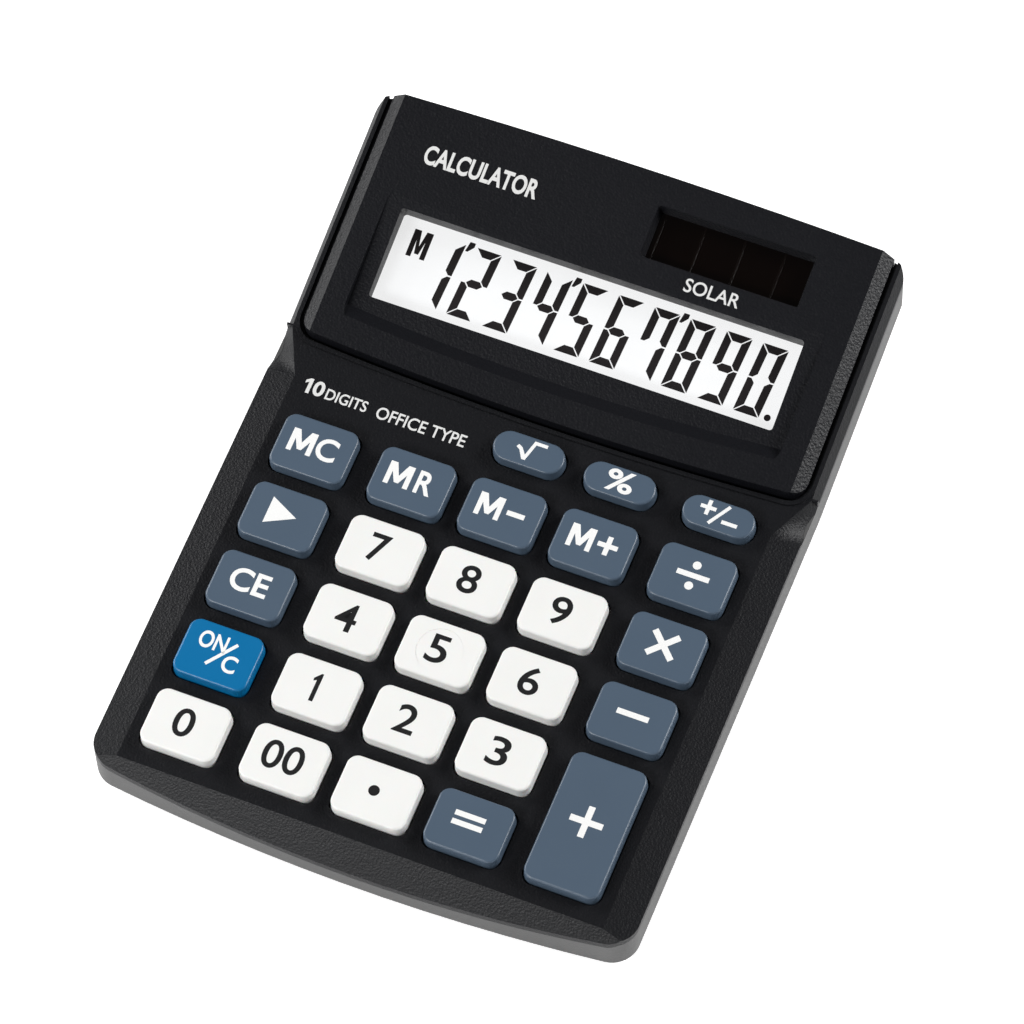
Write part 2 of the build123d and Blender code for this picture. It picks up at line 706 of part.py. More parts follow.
with BuildPart() as lower_case:
    add(between(outline(0), TRAY_TOP, TRAY_BOTTOM))
    add(belly(0, FOOT_HEIGHT))
    add(
        between(outline(WALL), SKY, TRAY_FLOOR),
        mode=Mode.SUBTRACT,
    )
    add(belly(WALL, BASE_FLOOR), mode=Mode.SUBTRACT)
    for across, along, joint, roof in CASE_SCREWS:
        add(post(Plane.XY, across, along, CASE_SLEEVE_RADIUS, joint, FOOT_HEIGHT))
        add(
            post(Plane.XY, across, along, SCREW_HEAD_RADIUS + 0.2, joint - SCREW_SHELF, 0),
            mode=Mode.SUBTRACT,
        )
        add(post(Plane.XY, across, along, SCREW_RADIUS + 0.2, joint + 1, 0), mode=Mode.SUBTRACT)
    add(
        block(
            Plane.XY, BATTERY_X, BATTERY_Y, BATTERY_BOX + DOOR_TAB, BATTERY_BOX,
            BATTERY_ROOF, FOOT_HEIGHT, 1.5,
        )
    )
    add(
        block(
            Plane.XY, BATTERY_X, BATTERY_Y, BATTERY_BOX + DOOR_TAB - 2 * DOOR_EDGE,
            BATTERY_BOX - 2 * DOOR_EDGE, FOOT_HEIGHT + DOOR_THICKNESS + FIT, 0, DOOR_CORNER,
        ),
        mode=Mode.SUBTRACT,
    )
    add(
        post(
            Plane.XY, BATTERY_CELL_X, BATTERY_Y, POCKET_EDGE, BATTERY_ROOF - FLOOR / 2, 0,
        ),
        mode=Mode.SUBTRACT,
    )
    add(
        post(Plane.XY, DOOR_SCREW_X, BATTERY_Y, PILOT_RADIUS, BATTERY_ROOF - FLOOR / 2, 0),
        mode=Mode.SUBTRACT,
    )
    for across in BATTERY_WIRES:
        add(
            post(Plane.XY, across, BATTERY_Y, WIRE_RADIUS + FIT, BATTERY_ROOF + 1, BATTERY_CELL_Z),
            mode=Mode.SUBTRACT,
        )
    for across, along in FEET:
        add(
            post(Plane.XY, across, along, FOOT_RADIUS + 0.1, FOOT_HEIGHT + FOOT_RECESS, 0),
            mode=Mode.SUBTRACT,
        )
save(lower_case.part, "lower_case")

def panel_hollow():
    """The space under the display panel's skin, inside its walls."""
    with BuildPart() as hollow:
        add(
            between(
                panel_outline(-PANEL_WALL),
                head_line(PANEL_SKIN, OPEN_START),
                head_line(SEAT_DEPTH + 1, OPEN_START),
            )
        )
        extrude(outline(PANEL_WALL), amount=BODY_HEIGHT + FAR, mode=Mode.INTERSECT)
    return hollow.part


# Display panel
with BuildPart() as display_cover:
    add(between(panel_outline(), head_line(0, OPEN_START), head_line(SEAT_DEPTH - FIT / 2, OPEN_START)))
    extrude(outline(0), amount=BODY_HEIGHT + FAR, mode=Mode.INTERSECT)
    add(panel_hollow(), mode=Mode.SUBTRACT)
    add(
        block(
            HEAD, 0, (RECESS_FRONT + WINDOW_FRONT + WINDOW_DEPTH + RECESS_BACK) / 2,
            WINDOW_WIDTH + 2 * RECESS_MARGIN + 2.4,
            WINDOW_FRONT + WINDOW_DEPTH + RECESS_BACK - RECESS_FRONT + 2.4,
            -PANEL_SKIN / 2, -SCREEN_SEAT,
        )
    )
    add(
        block(
            HEAD, SOLAR_MIDDLE_X, SOLAR_MIDDLE_Y, SOLAR_WIDTH + 3, SOLAR_DEPTH + 3,
            -PANEL_SKIN / 2, -SOLAR_SEAT,
        )
    )
    add(
        both_sides(
            side_bevel(
                HEAD, PANEL_HALF - PANEL_BEVEL_RUN,
                PANEL_BEVEL_DROP * (PANEL_BEVEL_RUN + PANEL_MARGIN) / PANEL_BEVEL_RUN,
                -FAR / 4, FAR,
            )
        ),
        mode=Mode.SUBTRACT,
    )
    add(display_recess(), mode=Mode.SUBTRACT)
    add(
        block(
            HEAD, 0, WINDOW_FRONT + WINDOW_DEPTH / 2, WINDOW_WIDTH, WINDOW_DEPTH, 3, -9, WINDOW_CORNER
        ),
        mode=Mode.SUBTRACT,
    )
    with BuildSketch(HEAD):
        with Locations((SOLAR_MIDDLE_X, SOLAR_MIDDLE_Y)):
            RectangleRounded(SOLAR_WIDTH, SOLAR_DEPTH, 0.5)
    extrude(amount=-SOLAR_SEAT, taper=SOLAR_LEAN, mode=Mode.SUBTRACT)
save(display_cover.part, "display_cover")

# Display stack, from the window down
STACK_TOP = SCREEN_SEAT + FIT / 2
POLARISER_TOP = STACK_TOP + LENS_THICKNESS + FIT / 2
GLASS_TOP = POLARISER_TOP + POLARISER_THICKNESS
REAR_GLASS_TOP = GLASS_TOP + GLASS_THICKNESS
REFLECTOR_TOP = REAR_GLASS_TOP + GLASS_THICKNESS
STACK_BOTTOM = REFLECTOR_TOP + POLARISER_THICKNESS
FRONT_GLASS_LENGTH = SCREEN_LENGTH - GLASS_LEDGE
FRONT_GLASS_MIDDLE = SCREEN_BACK - FRONT_GLASS_LENGTH / 2
LEDGE_FRONT = SCREEN_BACK - SCREEN_LENGTH
WINDOW_MIDDLE = WINDOW_FRONT + WINDOW_DEPTH / 2
FILM_WIDTH = WINDOW_WIDTH + GLASS_MARGIN
FILM_LENGTH = WINDOW_DEPTH + GLASS_MARGIN
SCREEN_LAYERS = [
    ("display_lens", SCREEN_WIDTH, FRONT_GLASS_LENGTH, FRONT_GLASS_MIDDLE, STACK_TOP, LENS_THICKNESS),
    ("lcd_polariser", FILM_WIDTH, FILM_LENGTH, WINDOW_MIDDLE, POLARISER_TOP, POLARISER_THICKNESS),
    ("lcd_front_glass", SCREEN_WIDTH, FRONT_GLASS_LENGTH, FRONT_GLASS_MIDDLE, GLASS_TOP, GLASS_THICKNESS),
    ("lcd_rear_glass", SCREEN_WIDTH, SCREEN_LENGTH, SCREEN_MIDDLE, REAR_GLASS_TOP, GLASS_THICKNESS),
    ("lcd_reflector", FILM_WIDTH, FILM_LENGTH, WINDOW_MIDDLE, REFLECTOR_TOP, POLARISER_THICKNESS),
]

for layer_name, width, length, middle, top, thickness in SCREEN_LAYERS:
    with BuildPart() as screen_layer:
        add(block(HEAD, 0, middle, width, length, -top, -top - thickness, EDGE_ROUND))
    save(screen_layer.part, layer_name)

# The holder is a tray with three walls, open at the front for the ribbon
with BuildPart() as lcd_holder:
    add(
        block(
            HEAD, 0, SCREEN_MIDDLE + HOLDER_WALL / 2, SCREEN_WIDTH + 2 * HOLDER_WALL,
            SCREEN_LENGTH + HOLDER_WALL, -STACK_TOP, -STACK_BOTTOM - FIT - HOLDER_WALL, EDGE_ROUND,
        )
    )
    add(
        block(
            HEAD, 0, SCREEN_MIDDLE - GLASS_LEDGE, SCREEN_WIDTH + 2 * FIT,
            SCREEN_LENGTH + 2 * GLASS_LEDGE + 2 * FIT, 0, -STACK_BOTTOM - FIT / 2,
        ),
        mode=Mode.SUBTRACT,
    )
save(lcd_holder.part, "lcd_holder")

# Solar cell on its foam pad
CELL_TOP = SOLAR_SEAT + FIT / 2
CELL_BOTTOM = CELL_TOP + CELL_THICKNESS
with BuildPart() as solar_cell:
    add(
        block(
            HEAD, SOLAR_MIDDLE_X, SOLAR_MIDDLE_Y, SOLAR_WIDTH + 2 * GLASS_MARGIN,
            SOLAR_DEPTH + 2 * GLASS_MARGIN, -CELL_TOP, -CELL_BOTTOM, EDGE_ROUND,
        )
    )
save(solar_cell.part, "solar_cell")

with BuildPart() as solar_foam_pad:
    add(
        block(
            HEAD, SOLAR_MIDDLE_X, SOLAR_MIDDLE_Y, SOLAR_WIDTH, SOLAR_DEPTH,
            -CELL_BOTTOM, -SEAT_DEPTH + FIT / 2, EDGE_ROUND,
        )
    )
    add(
        block(
            HEAD, SOLAR_MIDDLE_X, SOLAR_MIDDLE_Y, SOLAR_WIDTH - SOLAR_SLOT_MARGIN,
            SOLAR_DEPTH / 2, 0, -DEEP,
        ),
        mode=Mode.SUBTRACT,
    )
save(solar_foam_pad.part, "solar_foam_pad")

# Keypad stack in the deck frame: sheet, domes, contacts and board
STACK_FRONT = ROWS[4] - KEY_DEPTH / 2 - KEY_FLANGE - BOARD_MARGIN
SHEET_BACK = SMALL_ROW + SMALL_KEY_DEPTH / 2 + KEY_FLANGE + BOARD_MARGIN
BOARD_BACK = SHEET_BACK + RIBBON_LAP
STACK_WIDTH = 2 * (COLUMNS[4] + KEY_WIDTH / 2 + KEY_FLANGE + BOARD_MARGIN)
SMALL_NAMES = [name for name, column in SMALL_KEYS]


def dome_scale(name):
    return SMALL_DOME_SCALE if name in SMALL_NAMES else 1.0


def dome_cone(x, y, scale, shrink):
    """A dome's outer cone, or its inner cone when shrunk by its wall."""
    with BuildPart() as cone:
        with BuildSketch(DECK.offset(SHEET_TOP)):
            with Locations((x, y)):
                Circle(DOME_BASE * scale - shrink)
        with BuildSketch(DECK.offset(SHEET_TOP + DOME_HEIGHT - shrink)):
            with Locations((x, y)):
                Circle(DOME_TOP * scale - shrink)
        loft()
    return cone.part


with BuildPart() as rubber_keypad:
    add(
        block(
            DECK, 0, (STACK_FRONT + SHEET_BACK) / 2, STACK_WIDTH, SHEET_BACK - STACK_FRONT,
            SHEET_TOP, BOARD_TOP, KEY_CORNER,
        )
    )
    for across, along in BOARD_SCREWS:
        add(post(DECK, across, along, BOSS_RADIUS + SCREW_CLEARANCE, 0, -DEEP), mode=Mode.SUBTRACT)
    for name, x, y, width, depth, corner in KEYS:
        add(
            post(DECK, x, y, DOME_BASE * dome_scale(name) - DOME_WALL, 0, -DEEP),
            mode=Mode.SUBTRACT,
        )
save(rubber_keypad.part, "rubber_keypad")

with BuildPart() as rubber_domes:
    for name, x, y, width, depth, corner in KEYS:
        add(dome_cone(x, y, dome_scale(name), 0))
        add(dome_cone(x, y, dome_scale(name), DOME_WALL), mode=Mode.SUBTRACT)
save(rubber_domes.part, "rubber_domes")

with BuildPart() as contact_pads:
    for name, x, y, width, depth, corner in KEYS:
        add(post(DECK, x, y, PAD_RADIUS * dome_scale(name), BOARD_TOP + PAD_HEIGHT, BOARD_TOP))
save(contact_pads.part, "contact_pads")

with BuildPart() as circuit_board:
    add(
        block(
            DECK, 0, (STACK_FRONT + BOARD_BACK) / 2, STACK_WIDTH, BOARD_BACK - STACK_FRONT,
            BOARD_TOP, BOARD_BOTTOM, KEY_CORNER,
        )
    )
    for across, along in BOARD_SCREWS:
        add(post(DECK, across, along, SCREW_RADIUS + SCREW_CLEARANCE, 0, -DEEP), mode=Mode.SUBTRACT)
save(circuit_board.part, "circuit_board")

# What is soldered under the board
with BuildPart() as chip_blob:
    with BuildSketch(DECK.offset(BOARD_BOTTOM)):
        with Locations((0, ROWS[0])):
            Circle(BLOB_RADIUS)
    extrude(amount=-BLOB_HEIGHT, taper=BLOB_TAPER)
save(chip_blob.part, "chip_blob")

PARTS_ALONG = (SMALL_ROW + ROWS[0]) / 2
with BuildPart() as capacitor:
    add(
        post(
            DECK, 1.5 * PITCH_X, PARTS_ALONG, CAPACITOR_RADIUS, BOARD_BOTTOM,
            BOARD_BOTTOM - CAPACITOR_HEIGHT,
        )
    )
    fillet(capacitor.faces().sort_by(Axis.Z)[0].edges(), EDGE_ROUND)
save(capacitor.part, "capacitor")

with BuildPart() as chip_resistors:
    with BuildSketch(DECK.offset(BOARD_BOTTOM)):
        with Locations((-PITCH_X, PARTS_ALONG)):
            with GridLocations(RESISTOR_STEP, 0, RESISTOR_COUNT, 1):
                Rectangle(RESISTOR_WIDTH, RESISTOR_LENGTH)
    extrude(amount=-RESISTOR_HEIGHT)
save(chip_resistors.part, "chip_resistors")


def screw(frame, x, y, shoulder, length):
    """A pan-head screw that points up from its head, with a cross in the head."""
    bottom = shoulder - SCREW_HEAD_HEIGHT
    with BuildPart() as piece:
        add(post(frame, x, y, SCREW_RADIUS, shoulder + length, shoulder - SCREW_HEAD_HEIGHT / 2))
        add(post(frame, x, y, SCREW_HEAD_RADIUS, shoulder, bottom))
        fillet(piece.faces().sort_by(Axis(frame.origin, frame.z_dir))[0].edges(), EDGE_ROUND)
        for width, depth in ((SCREW_CROSS, SCREW_SLOT), (SCREW_SLOT, SCREW_CROSS)):
            add(
                block(frame, x, y, width, depth, shoulder - SCREW_HEAD_HEIGHT / 2, bottom),
                mode=Mode.SUBTRACT,
            )
    return piece.part


with BuildPart() as board_screws:
    for across, along in BOARD_SCREWS:
        add(screw(DECK, across, along, BOARD_BOTTOM, BOARD_THICKNESS + BOARD_SCREW_GRIP))
save(board_screws.part, "board_screws")

with BuildPart() as case_screws:
    for across, along, joint, roof in CASE_SCREWS:
        add(screw(Plane.XY, across, along, joint - SCREW_SHELF, SCREW_SHELF + SCREW_REACH))
save(case_screws.part, "case_screws")

# Battery, its contacts, door and the door's screw
CELL_TOP_Z = BATTERY_CELL_Z + BATTERY_THICKNESS
with BuildPart() as battery_cell:
    add(
        post(
            Plane.XY, BATTERY_CELL_X, BATTERY_Y, CELL_EDGE,
            BATTERY_CELL_Z + BATTERY_THICKNESS * CELL_CAN_SHARE, BATTERY_CELL_Z,
        )
    )
    add(post(Plane.XY, BATTERY_CELL_X, BATTERY_Y, CELL_EDGE - CELL_STEP, CELL_TOP_Z, BATTERY_CELL_Z))
    fillet(battery_cell.faces().sort_by(Axis.Z)[0].edges(), EDGE_ROUND)
save(battery_cell.part, "battery_cell")

with BuildPart() as battery_contact_negative:
    add(
        block(
            Plane.XY, BATTERY_CELL_X, BATTERY_Y, CELL_EDGE, CONTACT_WIDTH,
            CELL_TOP_Z + CONTACT_THICKNESS, CELL_TOP_Z, EDGE_ROUND,
        )
    )
save(battery_contact_negative.part, "battery_contact_negative")

with BuildPart() as battery_contact_positive:
    add(
        post(
            Plane.XY, BATTERY_CELL_X, BATTERY_Y, POCKET_EDGE - CONTACT_GAP,
            CELL_TOP_Z + CONTACT_THICKNESS, BATTERY_CELL_Z + CONTACT_THICKNESS,
        )
    )
    add(
        post(Plane.XY, BATTERY_CELL_X, BATTERY_Y, CELL_EDGE + CONTACT_GAP, DEEP, 0),
        mode=Mode.SUBTRACT,
    )
    add(
        block(
            Plane.XY, BATTERY_CELL_X - CELL_EDGE, BATTERY_Y, CELL_EDGE, CONTACT_WIDTH, DEEP, 0,
        ),
        mode=Mode.INTERSECT,
    )
    # a tab over the cell's edge, for the wire
    add(
        block(
            Plane.XY, BATTERY_CELL_X - POCKET_EDGE + 2 * CONTACT_GAP + CONTACT_WIDTH / 4, BATTERY_Y,
            CONTACT_WIDTH / 2, CONTACT_WIDTH / 2, CELL_TOP_Z + 2 * CONTACT_THICKNESS,
            CELL_TOP_Z + CONTACT_THICKNESS / 2,
        )
    )
save(battery_contact_positive.part, "battery_contact_positive")

DOOR_WIDTH = BATTERY_BOX - 2 * DOOR_EDGE - 2 * FIT
DOOR_SHOULDER = FOOT_HEIGHT + DOOR_THICKNESS / 2
with BuildPart() as battery_door:
    add(
        block(
            Plane.XY, BATTERY_X, BATTERY_Y, DOOR_WIDTH + DOOR_TAB, DOOR_WIDTH,
            FOOT_HEIGHT + DOOR_THICKNESS, FOOT_HEIGHT, DOOR_CORNER - FIT,
        )
    )
    with BuildSketch(Plane.XY.offset(FOOT_HEIGHT)):
        with Locations((BATTERY_CELL_X, BATTERY_Y)):
            with GridLocations(0, GRIP_STEP, 1, GRIP_COUNT):
                SlotOverall(GRIP_LENGTH, GRIP_WIDTH)
    extrude(amount=GRIP_DEPTH, mode=Mode.SUBTRACT)
    add(
        post(Plane.XY, DOOR_SCREW_X, BATTERY_Y, SCREW_RADIUS + SCREW_CLEARANCE, DEEP, 0),
        mode=Mode.SUBTRACT,
    )
    add(
        post(Plane.XY, DOOR_SCREW_X, BATTERY_Y, SCREW_HEAD_RADIUS + SCREW_CLEARANCE, DOOR_SHOULDER, 0),
        mode=Mode.SUBTRACT,
    )
save(battery_door.part, "battery_door")

with BuildPart() as battery_door_screw:
    add(screw(Plane.XY, DOOR_SCREW_X, BATTERY_Y, DOOR_SHOULDER, BATTERY_ROOF - FLOOR - DOOR_SHOULDER))
save(battery_door_screw.part, "battery_door_screw")

# Rubber feet
with BuildPart() as rubber_feet:
    for across, along in FEET:
        add(post(Plane.XY, across, along, FOOT_RADIUS, FOOT_HEIGHT + FOOT_RECESS, 0))
    fillet(rubber_feet.faces().group_by(Axis.Z)[0].edges(), EDGE_ROUND)
save(rubber_feet.part, "rubber_feet")

# The display's ribbon, from the glass's front ledge down to the board's back edge
RIBBON_GLASS = -REAR_GLASS_TOP + RIBBON_LIFT
RIBBON_BOARD = BOARD_TOP + RIBBON_LIFT
RIBBON_TURN = LEDGE_FRONT - 2 * RIBBON_BEND
with BuildPart() as lcd_ribbon:
    with BuildSketch(Plane.YZ):
        with BuildLine():
            FilletPolyline(
                row_point(SHEET_BACK + RIBBON_BEND, RIBBON_BOARD),
                row_point(BOARD_BACK + 2 * RIBBON_BEND, RIBBON_BOARD),
                head_side(RIBBON_TURN, -UNDER_SEAT - 3 * RIBBON_BEND),
                head_side(RIBBON_TURN, RIBBON_GLASS),
                head_side(LEDGE_FRONT + GLASS_LEDGE - RIBBON_BEND, RIBBON_GLASS),
                radius=RIBBON_BEND,
            )
        trace(line_width=RIBBON_THICKNESS)
    extrude(amount=SCREEN_WIDTH * RIBBON_SHARE / 2, both=True)
save(lcd_ribbon.part, "lcd_ribbon")


def make_wire(name, x, start, leave, drop, bend):
    """An insulated wire in side view: from start by way of leave, along below the board, and up to it."""
    turn = row_point(BOARD_BACK - BOARD_LAP, BOARD_BOTTOM - drop)
    end = row_point(BOARD_BACK - BOARD_LAP, BOARD_BOTTOM)
    points = [start, leave, (leave[0], turn[1]), turn, end]
    first = Vector(0, leave[0] - start[0], leave[1] - start[1])
    with BuildPart() as wire:
        with BuildLine() as path:
            FilletPolyline(*[(x, y, z) for y, z in points], radius=bend)
        with BuildSketch(Plane(origin=(x, start[0], start[1]), z_dir=first)):
            Circle(WIRE_RADIUS)
        sweep(path=path.line)
    save(wire.part, name)


SOLAR_END = head_side(SOLAR_MIDDLE_Y, -CELL_BOTTOM)
SOLAR_LEAVE = head_side(SOLAR_MIDDLE_Y, -CELL_BOTTOM - 2 * WIRE_DROP)
make_wire("solar_wire_red", SOLAR_MIDDLE_X - WIRE_STEP, SOLAR_END, SOLAR_LEAVE, WIRE_DROP, WIRE_BEND)
make_wire("solar_wire_black", SOLAR_MIDDLE_X + WIRE_STEP, SOLAR_END, SOLAR_LEAVE, WIRE_DROP, WIRE_BEND)


def battery_wire(name, x, height):
    """A wire from a battery contact, up through the box's roof and forward to the board."""
    turn = row_point(BOARD_BACK - BOARD_LAP, BOARD_BOTTOM - SHORT_DROP)
    end = row_point(BOARD_BACK - BOARD_LAP, BOARD_BOTTOM)
    with BuildPart() as wire:
        with BuildLine() as path:
            FilletPolyline(
                (x, BATTERY_Y, height),
                (x, BATTERY_Y, turn[1]),
                (x, *turn),
                (x, *end),
                radius=SHORT_BEND,
            )
        with BuildSketch(Plane.XY.offset(height)):
            with Locations((x, BATTERY_Y)):
                Circle(WIRE_RADIUS)
        sweep(path=path.line)
    save(wire.part, name)


battery_wire("battery_wire_red", BATTERY_WIRES[0], CELL_TOP_Z + 2 * CONTACT_THICKNESS)
battery_wire("battery_wire_black", BATTERY_WIRES[1], CELL_TOP_Z + CONTACT_THICKNESS)
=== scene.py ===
"""Desk calculator: finishes, key legends, lettering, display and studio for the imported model.

Frames, in millimetres: the deck frame lies on the keypad deck, x right, y up the slope, z out of it, from
the key grid's middle. The head frame lies on the display panel's top, from the panel's front corners.
"""
import math

import bmesh
import bpy
from bpy.props import FloatProperty, FloatVectorProperty, PointerProperty, StringProperty
from mathutils import Euler, Matrix, Vector


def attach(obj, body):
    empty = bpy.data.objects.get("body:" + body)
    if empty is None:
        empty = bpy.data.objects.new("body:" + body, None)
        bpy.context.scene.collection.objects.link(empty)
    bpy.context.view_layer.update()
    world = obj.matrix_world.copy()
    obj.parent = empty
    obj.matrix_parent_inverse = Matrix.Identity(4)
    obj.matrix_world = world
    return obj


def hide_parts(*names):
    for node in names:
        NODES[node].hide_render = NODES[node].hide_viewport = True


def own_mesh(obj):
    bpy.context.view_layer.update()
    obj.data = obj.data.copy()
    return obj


bl_info = {
    "name": "Desk calculator",
    "version": (1, 0, 0),
    "blender": (4, 5, 0),
    "location": "3D View > Sidebar > Calculator",
    "description": "Finishes, legends, display and studio for a desk calculator",
    "category": "Object",
}

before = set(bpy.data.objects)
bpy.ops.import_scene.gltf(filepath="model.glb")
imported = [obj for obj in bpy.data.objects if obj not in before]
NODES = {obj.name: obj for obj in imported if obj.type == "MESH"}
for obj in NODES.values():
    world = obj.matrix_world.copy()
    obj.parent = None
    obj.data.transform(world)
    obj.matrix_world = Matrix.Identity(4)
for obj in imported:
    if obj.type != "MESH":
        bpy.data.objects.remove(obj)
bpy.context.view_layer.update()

MM = 0.001
SLOPE = math.radians(4.2)
TILT = math.radians(10.9)
GRID_MIDDLE = (0, -34.183, 12.667)
PANEL_FRONT = (0, 58.0, 1.9)  # in the deck frame
DECK = Matrix.Scale(MM, 4) @ Matrix.Translation(GRID_MIDDLE) @ Matrix.Rotation(SLOPE, 4, "X")
HEAD = DECK @ Matrix.Translation(PANEL_FRONT) @ Matrix.Rotation(TILT, 4, "X")

KEY_RISE = 2.05
MARKER_DEPTH = 0.07  # of the shallow disc in the middle key
PITCH_X = 17.2
PITCH_Y = 14.22
OUTER = 2 * PITCH_X + 1.38  # the outer columns stand a little further out
COLUMNS = (-OUTER, -PITCH_X, 0.0, PITCH_X, OUTER)
FIRST_ROW = 2.5  # in rows from the grid's middle
ROWS = tuple((FIRST_ROW - row) * PITCH_Y for row in range(5))
SMALL_ROW = ROWS[0] + 12.7

PRINT = 0.03
SUNK = -PRINT / 3  # the underside of a print on a surface at zero
LCD_DEPTH = 4.7  # the display's face below the panel's top

DOME_FOOT = -4.56  # the rubber sheet's top, in the deck frame
DOME_HEIGHT = 1.7
DOME_BASE = 3.1
DOME_TOP = 2.2
DOME_WALL = 0.35
DOME_EDGE = 0.3
SMALL_DOME = 0.78

ROUND_SIDES = 32
SMOOTH_ANGLE = math.radians(30)
SHELL_SMOOTH_ANGLE = math.radians(10.6)
EASED_ANGLE = math.radians(28)
WELD = 2e-6
GLYPH_WELD = 1e-4

CAMERA_PLACE = (0.2243985, -0.4727352, 0.9264932)
CAMERA_TURN = (29.92953, 1.63183, 22.31069)
SENSOR = 36.0
LIGHT_TARGET = Vector((0, 0, 0.015))
FLOOR_HALF = 3.0

WHITE_KEYS = ("7", "8", "9", "4", "5", "6", "1", "2", "3", "0", "00", "point")
PLACES = {
    "mc": (0, 0), "mr": (1, 0), "m_minus": (2, 0), "m_plus": (3, 0), "divide": (4, 0),
    "backspace": (0, 1), "7": (1, 1), "8": (2, 1), "9": (3, 1), "multiply": (4, 1),
    "ce": (0, 2), "4": (1, 2), "5": (2, 2), "6": (3, 2), "minus": (4, 2),
    "on_c": (0, 3), "1": (1, 3), "2": (2, 3), "3": (3, 3),
    "0": (0, 4), "00": (1, 4), "point": (2, 4), "equals": (3, 4),
}
SMALL_PLACES = {"root": 2, "percent": 3, "sign": 4}


def key_centre(name):
    """The middle of a key's top, in the deck frame."""
    if name == "plus":
        return Vector((COLUMNS[4], (ROWS[3] + ROWS[4]) / 2))
    if name in SMALL_PLACES:
        return Vector((COLUMNS[SMALL_PLACES[name]], SMALL_ROW))
    column, row = PLACES[name]
    return Vector((COLUMNS[column], ROWS[row]))


ALL_KEYS = tuple(PLACES) + tuple(SMALL_PLACES) + ("plus",)


class Term:
    """A number that varies over a surface. Python's operators on it add Math nodes."""

    def __init__(self, finish, socket):
        self.finish = finish
        self.socket = socket

    def maths(self, operation, first, second):
        """A Math node's result."""
        node = self.finish.node("ShaderNodeMath", {"operation": operation}, {0: first, 1: second})
        return Term(self.finish, node.outputs[0])

    def __add__(self, other):
        return self.maths("ADD", self, other)

    def __radd__(self, other):
        return self.maths("ADD", other, self)

    def __sub__(self, other):
        return self.maths("SUBTRACT", self, other)

    def __rsub__(self, other):
        return self.maths("SUBTRACT", other, self)

    def __mul__(self, other):
        return self.maths("MULTIPLY", self, other)

    def __truediv__(self, other):
        return self.maths("DIVIDE", self, other)

    def __gt__(self, other):
        return self.maths("GREATER_THAN", self, other)

    def __lt__(self, other):
        return self.maths("LESS_THAN", self, other)


class Finish:
    """One surface finish, built as nodes on object coordinates."""

    def __init__(self, name):
        self.material = bpy.data.materials.new(name)
        self.material.use_nodes = True
        self.tree = self.material.node_tree
        self.tree.nodes.clear()
        self.shader = self.node("ShaderNodeBsdfPrincipled")
        self.node("ShaderNodeOutputMaterial", {}, {"Surface": self.shader.outputs[0]})
        self.place = self.node("ShaderNodeTexCoord").outputs["Object"]

    def node(self, kind, settings=None, sockets=None):
        """A new node, with its settings and what goes into its sockets."""
        node = self.tree.nodes.new(kind)
        for key, value in (settings or {}).items():
            setattr(node, key, value)
        for key, value in (sockets or {}).items():
            self.put(node.inputs[key], value)
        return node

    def put(self, target, value):
        if isinstance(value, Term):
            value = value.socket
        if isinstance(value, bpy.types.NodeSocket):
            self.tree.links.new(value, target)
        else:
            target.default_value = value

    def noise(self, size, detail=2.0, stretch=(1, 1, 1)):
        """Cloudy noise with features about size millimetres across."""
        mapping = self.node("ShaderNodeMapping", {}, {"Vector": self.place, "Scale": stretch})
        node = self.node(
            "ShaderNodeTexNoise", {},
            {"Vector": mapping.outputs[0], "Scale": 1 / (size * MM), "Detail": detail},
        )
        return Term(self, node.outputs[0])

    def cells(self, size):
        """Distance from the nearest of many scattered points, about size millimetres apart."""
        node = self.node("ShaderNodeTexVoronoi", {}, {"Vector": self.place, "Scale": 1 / (size * MM)})
        return Term(self, node.outputs["Distance"])

    def axis(self, name):
        """One object coordinate, in millimetres."""
        split = self.node("ShaderNodeSeparateXYZ", {}, {0: self.place})
        return Term(self, split.outputs[name]) * (1 / MM)

    def shade(self, colour, amount):
        """A colour made lighter or darker by a number that varies."""
        node = self.node(
            "ShaderNodeVectorMath", {"operation": "SCALE"}, {0: tuple(colour)[:3], "Scale": amount}
        )
        return node.outputs[0]

    def mix(self, amount, first, second):
        node = self.node("ShaderNodeMix", {"data_type": "RGBA"}, {0: amount})
        self.put(node.inputs[6], first)
        self.put(node.inputs[7], second)
        return node.outputs[2]

    def bump(self, height, depth):
        """Surface relief of about depth millimetres."""
        node = self.node("ShaderNodeBump", {}, {"Distance": depth * MM, "Height": height})
        self.put(self.shader.inputs["Normal"], node.outputs[0])

    def set(self, **values):
        """Sets the shader's inputs by name, with an underscore for each space."""
        for key, value in values.items():
            self.put(self.shader.inputs[key.replace("_", " ")], value)


def moulded(name, colour, gloss, grain, depth, specular=0.28):
    """Matt moulded plastic with a spark-eroded grain, whose size and depth are in millimetres."""
    mottling = 0.10
    finish = Finish(name)
    broad = finish.noise(38, 3)
    fine = finish.noise(grain, 3)
    pits = finish.cells(grain * 1.5)
    glint = finish.noise(grain * 0.5, 1) > 0.68
    finish.set(
        Base_Color=finish.shade(colour, (1 - mottling) + broad * mottling + (fine - 0.5) * (3 * mottling)),
        Roughness=gloss + (broad - 0.5) * 0.08 + (fine - 0.5) * 0.20 - glint * 0.12,
        Specular_IOR_Level=specular,
    )
    finish.bump(fine * 0.8 + pits * 0.6, depth)
    return finish.material


